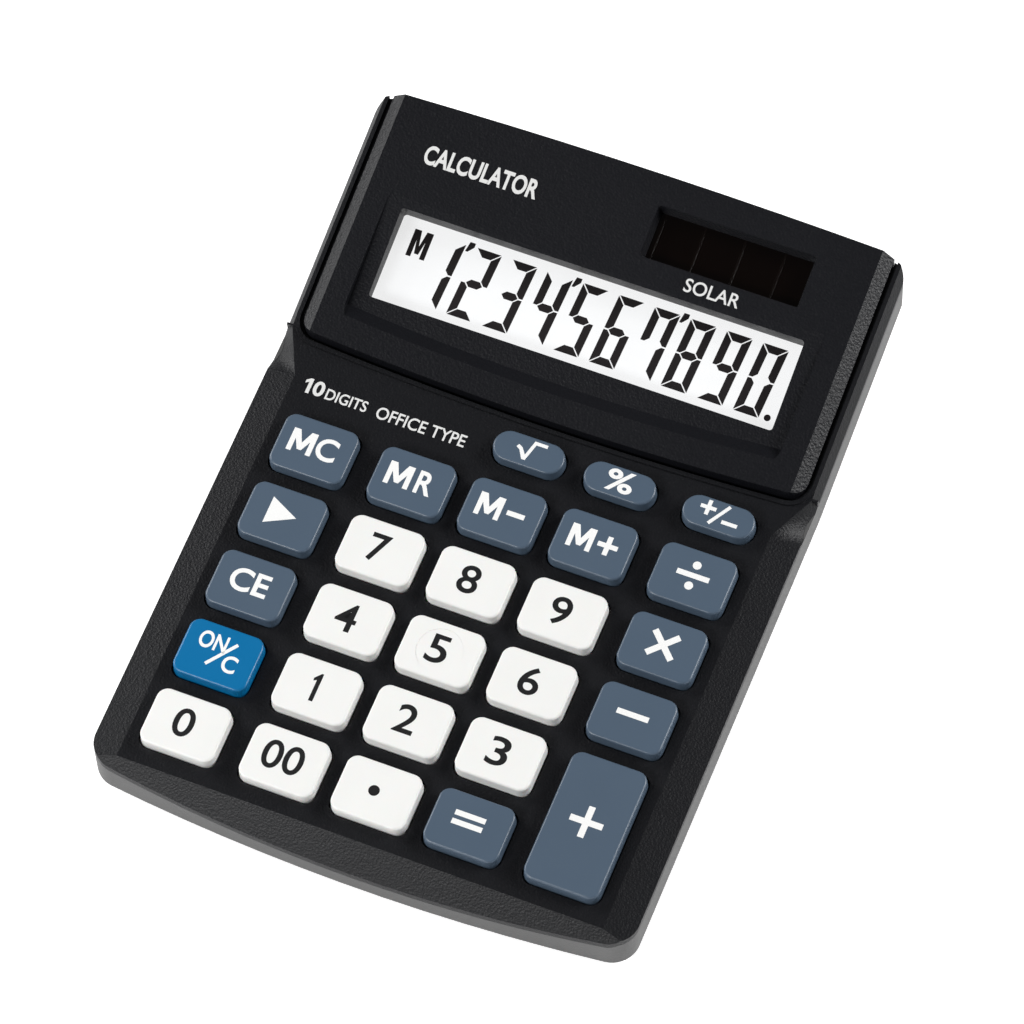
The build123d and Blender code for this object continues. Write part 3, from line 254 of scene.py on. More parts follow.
def satin(name, colour, gloss, subsurface=0.0):
    """Smooth key plastic: faint flow marks and fine polish marks."""
    finish = Finish(name)
    broad = finish.noise(9, 2)
    fine = finish.noise(0.35, 2)
    finish.set(
        Base_Color=finish.shade(colour, 0.965 + broad * 0.05 + (fine - 0.5) * 0.02),
        Roughness=gloss + (broad - 0.5) * 0.10 + (fine - 0.5) * 0.08,
        Specular_IOR_Level=0.5,
    )
    if subsurface:
        finish.set(Subsurface_Weight=subsurface, Subsurface_Scale=0.8 * MM)
    finish.bump(fine + broad * 0.6, 0.004)
    return finish.material


def printed(name, colour, gloss=0.45):
    """Screen-printed ink: slightly uneven in tone and thickness."""
    finish = Finish(name)
    spots = finish.noise(0.25, 2)
    finish.set(
        Base_Color=finish.shade(colour, 0.96 + spots * 0.06),
        Roughness=gloss + (spots - 0.5) * 0.12,
        Specular_IOR_Level=0.4,
    )
    finish.bump(spots, 0.002)
    return finish.material


def clear(name, tint, alpha):
    """Clear moulded sheet: nearly invisible, with faint moulding streaks in its gloss."""
    finish = Finish(name)
    streaks = finish.noise(6, 2, (1, 3, 1))
    finish.set(
        Base_Color=(*tint, 1.0),
        Roughness=0.03 + streaks * 0.02,
        Alpha=alpha + streaks * 0.02,
        Specular_IOR_Level=0.5,
    )
    finish.material.surface_render_method = "BLENDED"
    return finish.material


def metal(name, colour, gloss, line=(1, 1, 1)):
    """Plated or drawn metal, with streaks along the least stretched axis and a little tarnish."""
    finish = Finish(name)
    streaks = finish.noise(0.6, 3, line)
    tarnish = finish.noise(5, 3)
    finish.set(
        Base_Color=finish.shade(colour, 0.88 + tarnish * 0.2),
        Metallic=1.0,
        Roughness=gloss + (streaks - 0.5) * 0.14 + (tarnish - 0.5) * 0.12,
    )
    finish.bump(streaks, 0.003)
    return finish.material


def cover(node, material):
    """Gives a carried-over CAD node its finish."""
    mesh = NODES[node].data
    mesh.materials.clear()
    mesh.materials.append(material)


def place_piece(bm, name, material, body):
    """Turns a finished bmesh, already in metres, into a piece that rides on a body."""
    bmesh.ops.recalc_face_normals(bm, faces=bm.faces)
    mesh = bpy.data.meshes.new(name)
    bm.to_mesh(mesh)
    bm.free()
    mesh.materials.append(material)
    mesh.shade_smooth()
    mesh.set_sharp_from_angle(angle=SMOOTH_ANGLE)
    piece = bpy.data.objects.new(name, mesh)
    bpy.context.scene.collection.objects.link(piece)
    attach(piece, body)
    return piece


def soft_edged(node, material, radius, body="case"):
    """A copy of a shell with its outer edges eased, shown in place of the plain one."""
    bm = bmesh.new()
    bm.from_mesh(NODES[node].data)
    bmesh.ops.remove_doubles(bm, verts=bm.verts, dist=WELD)
    mesh = bpy.data.meshes.new(node + "_shell")
    bm.to_mesh(mesh)
    bm.free()
    mesh.materials.append(material)
    mesh.shade_smooth()
    mesh.set_sharp_from_angle(angle=SHELL_SMOOTH_ANGLE)
    piece = bpy.data.objects.new(node + "_shell", mesh)
    bpy.context.scene.collection.objects.link(piece)
    ease = piece.modifiers.new("Eased edges", "BEVEL")
    ease.limit_method = "ANGLE"
    ease.angle_limit = EASED_ANGLE
    ease.width = radius * MM
    ease.segments = 2
    ease.use_clamp_overlap = True
    ease.harden_normals = True
    flatten = piece.modifiers.new("Even shading", "WEIGHTED_NORMAL")
    flatten.mode = "FACE_AREA"
    flatten.weight = 80
    flatten.keep_sharp = True
    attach(piece, body)
    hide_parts(node)


def slab(bm, points, base, thickness):
    """A flat print or plate from its corner points, raised by its thickness."""
    face = bm.faces.new([bm.verts.new((x, y, base)) for x, y in points])
    raised = bmesh.ops.extrude_face_region(bm, geom=[face])
    verts = [item for item in raised["geom"] if isinstance(item, bmesh.types.BMVert)]
    bmesh.ops.translate(bm, verts=verts, vec=(0, 0, thickness))


def bar(bm, x, y, width, height, base, turn=0.0):
    """A printed stroke about its centre, turned by some degrees."""
    half = Vector((width / 2, height / 2))
    corners = [(-half.x, -half.y), (half.x, -half.y), (half.x, half.y), (-half.x, half.y)]
    spin = Matrix.Rotation(math.radians(turn), 2)
    slab(bm, [tuple(Vector((x, y)) + spin @ Vector(corner)) for corner in corners], base, PRINT)


def cross(bm, x, y, width, stroke, base, turn=0.0):
    """A plus sign as one plate, or a times sign when it is turned."""
    long, short = width / 2, stroke / 2
    corner = [(short, short), (short, long), (-short, long)]
    spin = Matrix.Rotation(math.radians(turn), 2)
    quarter = Matrix.Rotation(math.radians(90), 2)
    points = []
    arm = Matrix.Identity(2)
    for step in range(4):
        points += [tuple(Vector((x, y)) + spin @ arm @ Vector(point)) for point in corner]
        arm = quarter @ arm
    slab(bm, points, base, PRINT)


def disc(bm, x, y, radius, base):
    """A printed round dot."""
    bmesh.ops.create_cone(
        bm, cap_ends=True, segments=ROUND_SIDES, radius1=radius, radius2=radius, depth=PRINT,
        matrix=Matrix.Translation((x, y, base + PRINT / 2)),
    )


def letter_m(bm, x, y, width, height, stroke, base):
    """A capital M about a centre, with an upright stroke at each side and a point between them."""
    left, right = x - width / 2, x + width / 2
    low, high = y - height / 2, y + height / 2
    shoulder = stroke * 1.35
    armpit = high - shoulder * 1.5
    point = low + height * 0.14
    tip = stroke * 0.42
    corners = [
        (left, low), (left + stroke, low), (left + stroke, armpit), (x - tip, point), (x + tip, point),
        (right - stroke, armpit), (right - stroke, low), (right, low), (right, high),
        (right - shoulder, high), (x, point + shoulder * 1.15), (left + shoulder, high), (left, high),
    ]
    slab(bm, corners, base, PRINT)


def words_into(bm, words, centre, height, width, base, weight):
    """Adds lettering to a bmesh, fitted to a height and width about its centre."""
    curve = bpy.data.curves.new("words", "FONT")
    curve.body = words
    curve.offset = weight
    curve.extrude = 0.5
    curve.resolution_u = 6
    holder = bpy.data.objects.new("words", curve)
    bpy.context.scene.collection.objects.link(holder)
    bpy.context.view_layer.update()
    laid_out = holder.evaluated_get(bpy.context.evaluated_depsgraph_get())
    mesh = bpy.data.meshes.new_from_object(laid_out)
    bpy.data.objects.remove(holder)
    low = Vector([min(v.co[i] for v in mesh.vertices) for i in range(3)])
    high = Vector([max(v.co[i] for v in mesh.vertices) for i in range(3)])
    size = high - low
    middle = (high + low) / 2
    fit = (
        Matrix.Translation((centre[0], centre[1], base + PRINT / 2))
        @ Matrix.Diagonal((width / size.x, height / size.y, PRINT / size.z, 1))
        @ Matrix.Translation(-middle)
    )
    mesh.transform(fit)
    start = len(bm.verts)
    bm.from_mesh(mesh)
    bm.verts.ensure_lookup_table()
    bmesh.ops.remove_doubles(bm, verts=bm.verts[start:], dist=GLYPH_WELD)
    bpy.data.meshes.remove(mesh)


class CalculatorCase(bpy.types.PropertyGroup):
    """The case plastics and their grain"""

    deck_colour: FloatVectorProperty(
        name="Deck colour", description="Upper case plastic", subtype="COLOR",
        default=(0.0052, 0.0055, 0.0072),
    )
    panel_colour: FloatVectorProperty(
        name="Panel colour", description="Display panel plastic", subtype="COLOR",
        default=(0.0062, 0.0065, 0.0086),
    )
    tray_colour: FloatVectorProperty(
        name="Tray colour", description="Lower case plastic", subtype="COLOR", default=(0.112, 0.112, 0.112)
    )
    grain: FloatProperty(
        name="Grain", description="Size of the plastic's grain in millimetres", default=0.30, min=0.1
    )
    eased_edge: FloatProperty(
        name="Eased edge", description="Radius of the shells' edges in millimetres", default=0.28, min=0.0
    )


class CalculatorKeys(bpy.types.PropertyGroup):
    """The key plastics and legends"""

    white: FloatVectorProperty(
        name="White keys", description="Number key plastic", subtype="COLOR", default=(0.86, 0.86, 0.84)
    )
    slate: FloatVectorProperty(
        name="Slate keys", description="Function key plastic", subtype="COLOR",
        default=(0.076, 0.110, 0.155),
    )
    blue: FloatVectorProperty(
        name="Blue key", description="On and clear key plastic", subtype="COLOR",
        default=(0.002, 0.150, 0.360),
    )
    capital_height: FloatProperty(
        name="Capital height", description="Height of the letters on keys in millimetres", default=4.5
    )
    figure_height: FloatProperty(
        name="Figure height", description="Height of the numbers on keys in millimetres", default=5.45
    )


class CalculatorScreen(bpy.types.PropertyGroup):
    """The figures on the display, in millimetres"""

    shown: StringProperty(name="Number", description="The figures on the display", default="1234567890")
    height: FloatProperty(name="Height", description="Height of a figure in millimetres", default=13.35)
    width: FloatProperty(name="Width", description="Width of a figure in millimetres", default=4.85)
    pitch: FloatProperty(name="Pitch", description="From one figure to the next in millimetres", default=6.86)
    stroke: FloatProperty(name="Stroke", description="Width of a segment in millimetres", default=1.46)
    gap: FloatProperty(name="Gap", description="Gap between segments in millimetres", default=0.14)
    slant: FloatProperty(name="Slant", description="Sideways lean per unit of height", default=0.065)


class CalculatorStudio(bpy.types.PropertyGroup):
    """The camera and the lights"""

    lens: FloatProperty(name="Lens", description="Focal length in millimetres", default=210.9)
    key_light: FloatProperty(name="Key light", description="Main softbox", default=6.6, unit="POWER")
    side_light: FloatProperty(
        name="Side light", description="Softbox on the right", default=10.5, unit="POWER"
    )
    front_light: FloatProperty(
        name="Front light", description="Softbox in front", default=7.5, unit="POWER"
    )
    surround: FloatProperty(name="Surround", description="Brightness of the room", default=0.06)


class CALCULATOR_OT_case(bpy.types.Operator):
    """Give the case shells and the display panel eased edges and their moulded finishes"""

    bl_idname = "calculator.case"
    bl_label = "Case and display panel"

    def execute(self, context):
        case = context.scene.calculator_case
        deck = moulded("Deck plastic", case.deck_colour, 0.46, case.grain, 0.065)
        panel = moulded("Panel plastic", case.panel_colour, 0.41, case.grain * 1.15, 0.075)
        tray = moulded("Tray plastic", case.tray_colour, 0.55, case.grain, 0.05)
        soft_edged("upper_case", deck, case.eased_edge)
        soft_edged("display_cover", panel, case.eased_edge)
        soft_edged("lower_case", tray, case.eased_edge)
        soft_edged("battery_door", tray, 0.15)
        return {"FINISHED"}


class CALCULATOR_OT_keys(bpy.types.Operator):
    """Give the keycaps their satin plastics"""

    bl_idname = "calculator.keys"
    bl_label = "Keycaps"

    def execute(self, context):
        keys = context.scene.calculator_keys
        white = satin("White key plastic", keys.white, 0.38, subsurface=0.05)
        slate = satin("Slate key plastic", keys.slate, 0.34)
        blue = satin("Blue key plastic", keys.blue, 0.32)
        for name in ALL_KEYS:
            chosen = white if name in WHITE_KEYS else slate
            cover("key_" + name, blue if name == "on_c" else chosen)
        return {"FINISHED"}


class CALCULATOR_OT_legends(bpy.types.Operator):
    """Print the legends on the keycaps"""

    bl_idname = "calculator.legends"
    bl_label = "Key legends"

    FIGURE_SHIFT = (-0.42, 0.22)
    BOLD = 0.022
    LETTER_Y = 0.45
    LETTER_STROKE = 0.92
    BAR_STROKE = 0.62

    def execute(self, context):
        keys = context.scene.calculator_keys
        self.white = printed("White print", (0.90, 0.90, 0.89))
        self.black = printed("Black print", (0.010, 0.010, 0.011))
        self.capital = keys.capital_height
        self.figure = keys.figure_height
        thin = 0.012
        widths = {"4": 3.9, "7": 3.6}
        self.mark("1", self.one)
        for name in "789456230":
            self.words(name, name, self.figure, widths.get(name, 3.75), self.FIGURE_SHIFT, thin)
        self.words("00", "00", self.figure, 7.5, (-0.35, 0.25), thin)
        self.mark("mc", lambda bm, base: self.memory(bm, base, "C", 2.25, 3.9))
        self.mark("mr", lambda bm, base: self.memory(bm, base, "R", 2.45, 3.1))
        self.words("ce", "CE", self.capital, 7.2, (-0.34, 0.45))
        self.mark("root", self.root)
        self.words("percent", "%", 4.3, 5.1, (0.0, 0.2))
        self.mark("m_minus", self.memory_minus)
        self.mark("m_plus", self.memory_plus)
        self.mark("divide", self.divide)
        self.mark("multiply", self.multiply)
        self.mark("minus", self.minus)
        self.mark("plus", self.plus)
        self.mark("equals", self.equals)
        self.mark("backspace", self.arrow)
        self.mark("point", self.point)
        self.mark("sign", self.sign)
        self.mark("on_c", self.on_and_clear)
        return {"FINISHED"}

    def base(self, name):
        """The underside of a key's legend, in the deck frame."""
        return KEY_RISE + SUNK - (MARKER_DEPTH if name == "5" else 0.0)

    def mark(self, name, draw):
        """Draws one legend about its key's middle and prints it there."""
        bm = bmesh.new()
        draw(bm, self.base(name))
        middle = key_centre(name)
        place = DECK @ Matrix.Translation((middle.x, middle.y, 0))
        bmesh.ops.transform(bm, verts=bm.verts, matrix=place)
        dark = name in WHITE_KEYS
        place_piece(
            bm, "legend_" + name, self.black if dark else self.white, "key_" + name,
        )

    def words(self, name, words, height, width, shift, weight=BOLD):
        """Prints lettering on a key, shifted from its middle."""
        self.mark(name, lambda bm, base: words_into(bm, words, shift, height, width, base, weight))

    def one(self, bm, base):
        half = self.figure / 2
        across, along = self.FIGURE_SHIFT
        flag = [
            (-0.75, 1.05), (-0.75, 1.62), (0.28, half), (0.62, half), (0.62, -half), (-0.16, -half),
            (-0.16, 1.32),
        ]
        slab(bm, [(x + across, y + along) for x, y in flag], base, PRINT)

    def root(self, bm, base):
        tick = [
            (-2.55, 0.05), (-2.25, 0.62), (-1.45, 0.2), (-0.55, -1.0), (0.25, 2.05), (2.75, 2.05), (2.75, 1.4),
            (0.72, 1.4), (-0.2, -2.0), (-0.85, -2.0), (-1.85, -0.35),
        ]
        slab(bm, [(x + 0.1, y + 0.2) for x, y in tick], base, PRINT)

    def memory(self, bm, base, letter, place, width):
        """An M and then another letter."""
        letter_m(bm, -2.45, self.LETTER_Y, 4.6, self.capital, self.LETTER_STROKE, base)
        words_into(bm, letter, (place, self.LETTER_Y), self.capital, width, base, 0.02)

    def memory_minus(self, bm, base):
        letter_m(bm, -2.45, self.LETTER_Y, 4.6, self.capital, self.LETTER_STROKE, base)
        bar(bm, 2.5, 0.35, 3.3, 0.95, base)

    def memory_plus(self, bm, base):
        letter_m(bm, -2.35, self.LETTER_Y, 4.5, self.capital, self.LETTER_STROKE, base)
        cross(bm, 2.6, self.LETTER_Y, 3.7, self.LETTER_STROKE, base)

    def divide(self, bm, base):
        bar(bm, 0, 0.4, 6.0, 1.0, base)
        disc(bm, 0, 2.45, 0.78, base)
        disc(bm, 0, -1.65, 0.78, base)

    def multiply(self, bm, base):
        cross(bm, 0, 0.43, 6.5, 1.15, base, 45)

    def minus(self, bm, base):
        bar(bm, 0, 0.46, 5.85, 1.05, base)

    def plus(self, bm, base):
        cross(bm, -0.05, 0.46, 6.0, 1.15, base)

    def equals(self, bm, base):
        bar(bm, -0.34, 1.45, 5.6, 1.0, base)
        bar(bm, -0.34, -0.25, 5.6, 1.0, base)

    def arrow(self, bm, base):
        slab(bm, [(-2.9, -2.25), (2.45, 0.4), (-2.9, 3.05)], base, PRINT)

    def point(self, bm, base):
        disc(bm, -0.5, 0.1, 1.0, base)

    def sign(self, bm, base):
        cross(bm, -2.25, 0.95, 2.9, 0.72, base)
        bar(bm, 0.05, 0.2, 5.0, self.BAR_STROKE, base, 58)
        bar(bm, 2.3, -0.9, 2.9, 0.72, base)

    def on_and_clear(self, bm, base):
        letter_height = 3.3
        words_into(bm, "ON", (-1.75, 2.0), letter_height, 5.2, base, self.BOLD)
        words_into(bm, "C", (2.55, -1.15), letter_height, 2.7, base, self.BOLD)
        bar(bm, 0.55, 0.2, 6.6, self.BAR_STROKE, base, 52)


class CALCULATOR_OT_lettering(bpy.types.Operator):
    """Print the plain words on the deck and the display panel"""

    bl_idname = "calculator.lettering"
    bl_label = "Case lettering"

    BOLD = 0.03
    MEDIUM = 0.015
    THIN = 0.012

    def execute(self, context):
        ink = printed("Pale case print", (0.74, 0.74, 0.73))
        bm = bmesh.new()
        words_into(bm, "CALCULATOR", (-27.3, 36.7), 3.7, 21.9, SUNK, self.BOLD)
        words_into(bm, "SOLAR", (19.9, 28.8), 2.6, 10.4, SUNK, self.THIN)
        bmesh.ops.transform(bm, verts=bm.verts, matrix=HEAD)
        place_piece(bm, "panel_words", ink, "case")
        bm = bmesh.new()
        one = [(0.65, 0), (1.3, 0), (1.3, 3.0), (0.75, 3.0), (0, 2.45), (0, 1.85), (0.65, 2.25)]
        slab(bm, [(x - 42.9, y + 46.1) for x, y in one], SUNK, PRINT)
        words_into(bm, "0", (-40.1, 47.6), 3.0, 2.1, SUNK, self.BOLD)
        words_into(bm, "DIGITS", (-34.6, 47.2), 2.2, 7.9, SUNK, self.MEDIUM)
        words_into(bm, "OFFICE TYPE", (-20.2, 47.0), 2.45, 17.0, SUNK, self.THIN)
        bmesh.ops.transform(bm, verts=bm.verts, matrix=DECK)
        place_piece(bm, "deck_words", ink, "case")
        return {"FINISHED"}


class CALCULATOR_OT_screen(bpy.types.Operator):
    """Make the display: lens, films, glass, holder, ribbon and the figures"""

    bl_idname = "calculator.screen"
    bl_label = "Display"

    FIRST_RIGHT = -26.07  # the first figure's right side at its top
    BOTTOM = 11.09
    COMMAS = (-25.3, -4.75, 15.85)
    COMMA_Y = 24.35
    LIT = {
        "0": "abcdef", "1": "bc", "2": "abged", "3": "abgcd", "4": "fgbc",
        "5": "afgcd", "6": "afgecd", "7": "fabc", "8": "abcdefg", "9": "abcdfg",
    }

    def execute(self, context):
        screen = context.scene.calculator_screen
        cover("display_lens", clear("Clear lens", (0.02, 0.02, 0.02), 0.04))
        cover("lcd_front_glass", clear("Display glass", (0.93, 0.97, 0.95), 0.10))
        cover("lcd_rear_glass", clear("Rear display glass", (0.90, 0.95, 0.93), 0.12))
        self.face()
        cover("lcd_holder", moulded("Holder plastic", (0.72, 0.72, 0.70), 0.5, 0.5, 0.01))
        self.ribbon()
        shapes = self.segments(screen)
        bm = bmesh.new()
        for place, figure in enumerate(screen.shown):
            right = self.FIRST_RIGHT + place * screen.pitch - screen.slant * screen.height
            left = right - screen.width
            for segment in self.LIT[figure]:
                points = [(left + x + screen.slant * y, self.BOTTOM + y) for x, y in shapes[segment]]
                slab(bm, points, -LCD_DEPTH, PRINT)
        comma = [(-0.25, 0.7), (-0.62, -1.2), (-0.15, -1.2), (0.8, -0.1), (0.8, 0.7)]
        for middle in self.COMMAS:
            slab(bm, [(middle + x, self.COMMA_Y + y) for x, y in comma], -LCD_DEPTH, PRINT)
        disc(bm, 36.3, 11.65, 0.62, -LCD_DEPTH)
        letter_m(bm, -34.1, 21.6, 3.6, 5.2, 0.95, -LCD_DEPTH)
        bmesh.ops.transform(bm, verts=bm.verts, matrix=HEAD)
        ink = printed("Display segments", (0.016, 0.013, 0.014), 0.4)
        place_piece(bm, "screen_figures", ink, "case")
        return {"FINISHED"}

    def segments(self, screen):
        """The seven segments of an upright figure, from its lower left corner."""
        stroke, gap = screen.stroke, screen.gap
        width, height = screen.width, screen.height
        half = stroke / 2
        middle = height / 2
        shapes = {
            "a": [(gap, height), (stroke + gap, height - stroke), (width - stroke - gap, height - stroke),
                  (width - gap, height)],
            "f": [(0, height - gap), (0, middle + gap), (half, middle + gap), (stroke, middle + half + gap),
                  (stroke, height - stroke - gap)],
            "g": [(half + gap, middle), (stroke + gap, middle - half), (width - stroke - gap, middle - half),
                  (width - half - gap, middle), (width - stroke - gap, middle + half),
                  (stroke + gap, middle + half)],
        }
        shapes["b"] = [(width - x, y) for x, y in shapes["f"]]
        shapes["e"] = [(x, height - y) for x, y in shapes["f"]]
        shapes["c"] = [(width - x, height - y) for x, y in shapes["f"]]
        shapes["d"] = [(x, height - y) for x, y in shapes["a"]]
        return shapes

    def face(self):
        """The display's pale ground, with a very fine sparkle. It glows as painted light, so it looks evenly
        lit and the window's walls cast no shade on it.
        """
        finish = Finish("Display ground with painted glow")
        sparkle = finish.noise(0.12, 2)
        broad = finish.noise(22, 2)
        finish.set(
            Base_Color=finish.shade((0.26, 0.27, 0.28), 0.955 + sparkle * 0.05 + broad * 0.02),
            Roughness=0.6 + (sparkle - 0.5) * 0.1,
            # Painted light: this glow stands in for light on the display and hides the shade from the window's
            # walls.
            Emission_Color=(1.0, 1.0, 1.0, 1.0),
            Emission_Strength=0.84,
        )
        finish.bump(sparkle, 0.002)
        cover("lcd_polariser", finish.material)
        backing = Finish("Reflector foil")
        ripple = backing.noise(1.2, 3)
        backing.set(
            Base_Color=backing.shade((0.80, 0.82, 0.80), 0.93 + ripple * 0.1), Roughness=0.35 + ripple * 0.2
        )
        backing.bump(ripple, 0.01)
        cover("lcd_reflector", backing.material)

    def ribbon(self):
        """Amber film with printed tracks."""
        finish = Finish("Ribbon film")
        tracks = finish.node(
            "ShaderNodeTexWave", {"bands_direction": "X"},
            {"Vector": finish.place, "Scale": 260.0, "Distortion": 0.0},
        )
        track = Term(finish, tracks.outputs["Fac"]) > 0.5
        finish.set(
            Base_Color=finish.mix(track, (0.36, 0.16, 0.03, 1), (0.55, 0.34, 0.10, 1)),
            Roughness=0.42 - track * 0.12,
        )
        finish.bump(track, 0.01)
        cover("lcd_ribbon", finish.material)


class CALCULATOR_OT_solar(bpy.types.Operator):
    """Finish the solar cell and its foam"""

    bl_idname = "calculator.solar"
    bl_label = "Solar cell"

    def execute(self, context):
        finish = Finish("Solar glass")
        across = finish.axis("X")
        strip_width, line_share, offset = 7.6, 0.045, 100
        stripe = finish.node(
            "ShaderNodeMath", {"operation": "FRACT"}, {0: (across + offset) / strip_width}
        )
        line = Term(finish, stripe.outputs[0]) < line_share
        cloud = finish.noise(5, 2)
        finish.set(
            Base_Color=finish.mix(
                line, finish.shade((0.0022, 0.0010, 0.0007), 0.8 + cloud * 0.4), (0.0040, 0.0022, 0.0018, 1)
            ),
            Roughness=0.16 + line * 0.06 + cloud * 0.06,
            Specular_IOR_Level=0.3,
        )
        finish.bump(line, 0.01)
        cover("solar_cell", finish.material)
        foam = Finish("Foam")
        pores = foam.cells(0.5)
        foam.set(Base_Color=foam.shade((0.03, 0.03, 0.03), 0.7 + pores * 0.6), Roughness=0.9 - pores * 0.1)
        foam.bump(pores, 0.15)
        cover("solar_foam_pad", foam.material)
        return {"FINISHED"}


class CALCULATOR_OT_rubber(bpy.types.Operator):
    """Make the keypad's rubber sheet and one dome under each key"""

    bl_idname = "calculator.rubber"
    bl_label = "Keypad rubber"

    def execute(self, context):
        rubber = moulded("Keypad rubber", (0.30, 0.31, 0.32), 0.62, 0.8, 0.012, 0.4)
        cover("rubber_keypad", rubber)
        for name in ALL_KEYS:
            scale = SMALL_DOME if name in SMALL_PLACES else 1.0
            middle = key_centre(name)
            bm = bmesh.new()
            bmesh.ops.create_cone(
                bm, cap_ends=True, segments=ROUND_SIDES, radius1=DOME_BASE * scale,
                radius2=DOME_TOP * scale, depth=DOME_HEIGHT,
                matrix=Matrix.Translation((middle.x, middle.y, DOME_FOOT + DOME_HEIGHT / 2)),
            )
            under = min(bm.faces, key=lambda face: face.calc_center_median().z)
            bmesh.ops.delete(bm, geom=[under], context="FACES_ONLY")
            top = max(bm.faces, key=lambda face: face.calc_center_median().z)
            bmesh.ops.bevel(
                bm, geom=list(top.edges), offset=DOME_EDGE, segments=3, profile=0.5, material=-1,
                affect="EDGES",
            )
            bmesh.ops.recalc_face_normals(bm, faces=bm.faces)
            bmesh.ops.solidify(bm, geom=bm.faces[:], thickness=DOME_WALL)
            bmesh.ops.transform(bm, verts=bm.verts, matrix=DECK)
            dome = place_piece(bm, "dome_" + name, rubber, "case")
            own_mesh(dome)
            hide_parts("rubber_domes")
        return {"FINISHED"}


class CALCULATOR_OT_electronics(bpy.types.Operator):
    """Finish the circuit board, what is on it, and the wires"""

    bl_idname = "calculator.electronics"
    bl_label = "Board and wires"

    def execute(self, context):
        board = Finish("Board lacquer")
        weave = board.cells(0.6)
        tracks = board.noise(3.0, 1, (1, 4, 1)) > 0.56
        board.set(
            Base_Color=board.mix(
                tracks, board.shade((0.010, 0.085, 0.030), 0.85 + weave * 0.3), (0.030, 0.16, 0.05, 1)
            ),
            Roughness=0.34 + weave * 0.12,
        )
        board.bump(tracks + weave * 0.2, 0.02)
        cover("circuit_board", board.material)
        cover("contact_pads", moulded("Printed carbon", (0.012, 0.012, 0.012), 0.7, 0.3, 0.01))
        cover("chip_blob", moulded("Black resin", (0.008, 0.008, 0.009), 0.30, 1.6, 0.02))
        cover("chip_resistors", moulded("Fired ceramic", (0.03, 0.03, 0.035), 0.5, 0.3, 0.01))
        cover("capacitor", metal("Drawn can", (0.72, 0.73, 0.75), 0.28, (1, 1, 6)))
        red = moulded("Red insulation", (0.42, 0.012, 0.010), 0.42, 1.5, 0.006)
        black = moulded("Black insulation", (0.012, 0.012, 0.012), 0.42, 1.5, 0.006)
        for wire in ("solar_wire_", "battery_wire_"):
            cover(wire + "red", red)
            cover(wire + "black", black)
        return {"FINISHED"}


class CALCULATOR_OT_battery(bpy.types.Operator):
    """Finish the button cell and its contacts"""

    bl_idname = "calculator.battery"
    bl_label = "Battery"

    def execute(self, context):
        cover("battery_cell", metal("Nickel can", (0.66, 0.66, 0.67), 0.26))
        strip = metal("Tinned strip", (0.60, 0.57, 0.48), 0.32, (4, 1, 1))
        cover("battery_contact_negative", strip)
        cover("battery_contact_positive", strip)
        return {"FINISHED"}


class CALCULATOR_OT_fasteners(bpy.types.Operator):
    """Finish the screws and the rubber feet"""

    bl_idname = "calculator.fasteners"
    bl_label = "Screws and feet"

    def execute(self, context):
        zinc = metal("Zinc plate", (0.55, 0.55, 0.57), 0.34)
        for name in ("board_screws", "case_screws", "battery_door_screw"):
            cover(name, zinc)
        cover("rubber_feet", moulded("Foot rubber", (0.014, 0.014, 0.014), 0.72, 0.6, 0.02, 0.35))
        return {"FINISHED"}


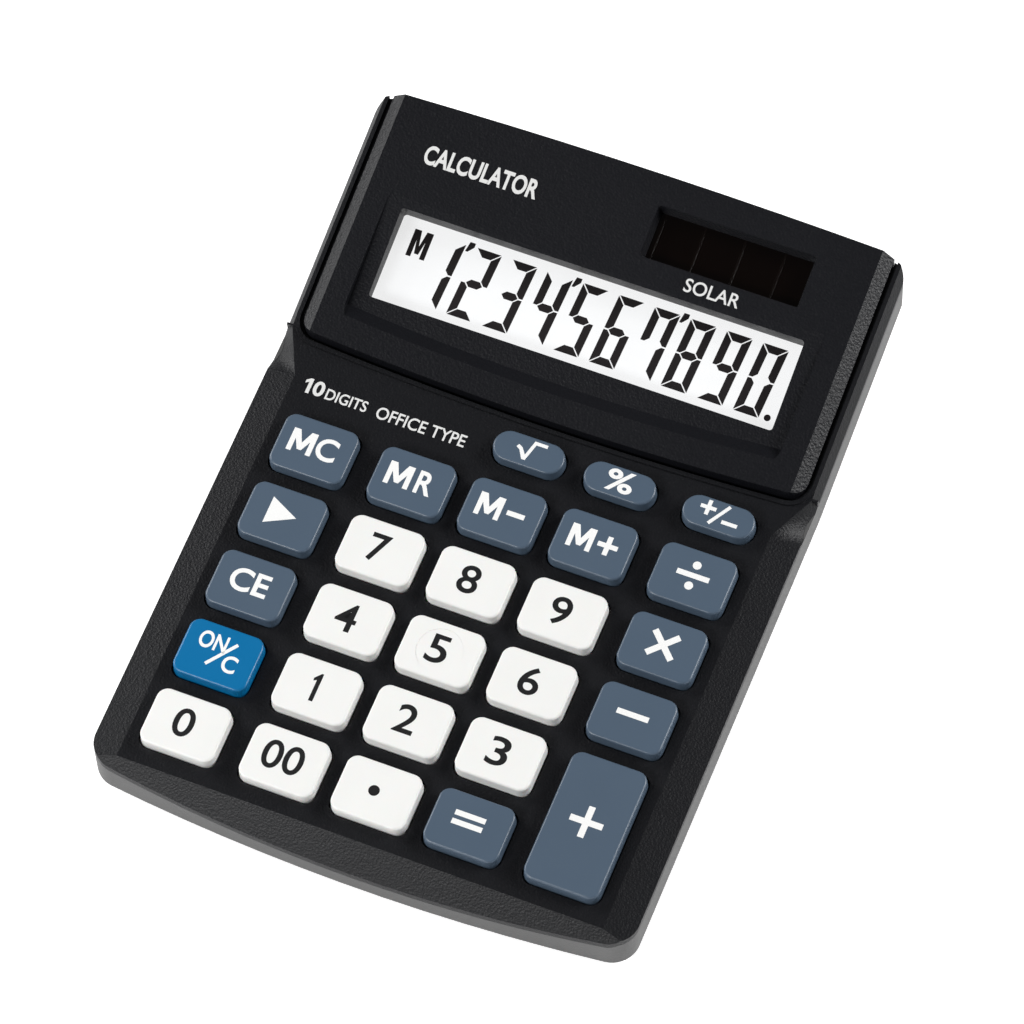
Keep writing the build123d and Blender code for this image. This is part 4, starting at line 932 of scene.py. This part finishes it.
class CALCULATOR_OT_studio(bpy.types.Operator):
    """Set up the pale floor, the soft lights and the camera"""

    bl_idname = "calculator.studio"
    bl_label = "Studio"

    def execute(self, context):
        studio = context.scene.calculator_studio
        self.floor()
        self.room(studio.surround)
        self.softbox("Key softbox", (-0.95, 0.16, 0.50), (0.5, 0.5), studio.key_light)
        self.softbox("Side softbox", (0.78, 0.50, 0.56), (0.60, 0.42), studio.side_light)
        self.softbox("Front softbox", (-0.42, -0.74, 0.62), (0.5, 0.30), studio.front_light)
        self.camera(context, studio.lens)
        context.scene.view_settings.view_transform = "Standard"
        return {"FINISHED"}

    def camera(self, context, focal_length):
        lens = bpy.data.cameras.new("Camera")
        lens.lens = focal_length
        lens.sensor_width = SENSOR
        lens.clip_start = 0.05
        lens.clip_end = 20.0
        camera = bpy.data.objects.new("Camera", lens)
        turn = Euler([math.radians(angle) for angle in CAMERA_TURN])
        camera.matrix_world = Matrix.LocRotScale(Vector(CAMERA_PLACE), turn, None)
        context.scene.collection.objects.link(camera)
        context.scene.camera = camera

    def floor(self):
        """A wide matt floor, a little self-lit so that it stays pale."""
        bm = bmesh.new()
        bmesh.ops.create_grid(bm, x_segments=1, y_segments=1, size=FLOOR_HALF)
        mesh = bpy.data.meshes.new("Floor")
        bm.to_mesh(mesh)
        bm.free()
        finish = Finish("Pale floor")
        cloud = finish.noise(90, 2)
        finish.set(
            Base_Color=finish.shade((0.93, 0.93, 0.93), 0.99 + cloud * 0.02), Roughness=0.9,
            Emission_Color=(1.0, 1.0, 1.0, 1.0), Emission_Strength=0.55,
        )
        mesh.materials.append(finish.material)
        floor = bpy.data.objects.new("Floor", mesh)
        bpy.context.scene.collection.objects.link(floor)

    def room(self, strength):
        """Even pale light from all round."""
        world = bpy.data.worlds.new("Room")
        world.use_nodes = True
        light = world.node_tree.nodes["Background"]
        light.inputs["Color"].default_value = (1.0, 1.0, 1.0, 1.0)
        light.inputs["Strength"].default_value = strength
        bpy.context.scene.world = world

    def softbox(self, name, place, size, power):
        """A rectangular area light that faces the calculator."""
        light = bpy.data.lights.new(name, "AREA")
        light.shape = "RECTANGLE"
        light.size, light.size_y = size
        light.energy = power
        lamp = bpy.data.objects.new(name, light)
        turn = (LIGHT_TARGET - Vector(place)).to_track_quat("-Z", "Y").to_matrix().to_4x4()
        lamp.matrix_world = Matrix.Translation(place) @ turn
        bpy.context.scene.collection.objects.link(lamp)


class CALCULATOR_PT_build(bpy.types.Panel):
    """Every step of the calculator's looks"""

    bl_idname = "CALCULATOR_PT_build"
    bl_label = "Calculator"
    bl_space_type = "VIEW_3D"
    bl_region_type = "UI"
    bl_category = "Calculator"

    def draw(self, context):
        for name in ("case", "keys", "screen", "studio"):
            group = getattr(context.scene, "calculator_" + name)
            box = self.layout.box()
            box.label(text=name.capitalize())
            for setting in group.__annotations__:
                box.prop(group, setting)
        for step in STEPS:
            self.layout.operator(step.bl_idname)


GROUPS = {
    "calculator_case": CalculatorCase,
    "calculator_keys": CalculatorKeys,
    "calculator_screen": CalculatorScreen,
    "calculator_studio": CalculatorStudio,
}
STEPS = (
    CALCULATOR_OT_case, CALCULATOR_OT_keys, CALCULATOR_OT_legends, CALCULATOR_OT_lettering,
    CALCULATOR_OT_screen, CALCULATOR_OT_solar, CALCULATOR_OT_rubber, CALCULATOR_OT_electronics,
    CALCULATOR_OT_battery, CALCULATOR_OT_fasteners, CALCULATOR_OT_studio,
)


def register():
    for group in GROUPS.values():
        bpy.utils.register_class(group)
    for step in STEPS + (CALCULATOR_PT_build,):
        bpy.utils.register_class(step)
    for name, group in GROUPS.items():
        setattr(bpy.types.Scene, name, PointerProperty(type=group))


def unregister():
    for name in GROUPS:
        delattr(bpy.types.Scene, name)
    for step in reversed(STEPS + (CALCULATOR_PT_build,)):
        bpy.utils.unregister_class(step)
    for group in reversed(tuple(GROUPS.values())):
        bpy.utils.unregister_class(group)


def main():
    """Runs every step."""
    register()
    for step in STEPS:
        getattr(bpy.ops.calculator, step.bl_idname.split(".")[1])()


if __name__ == "__main__":
    main()
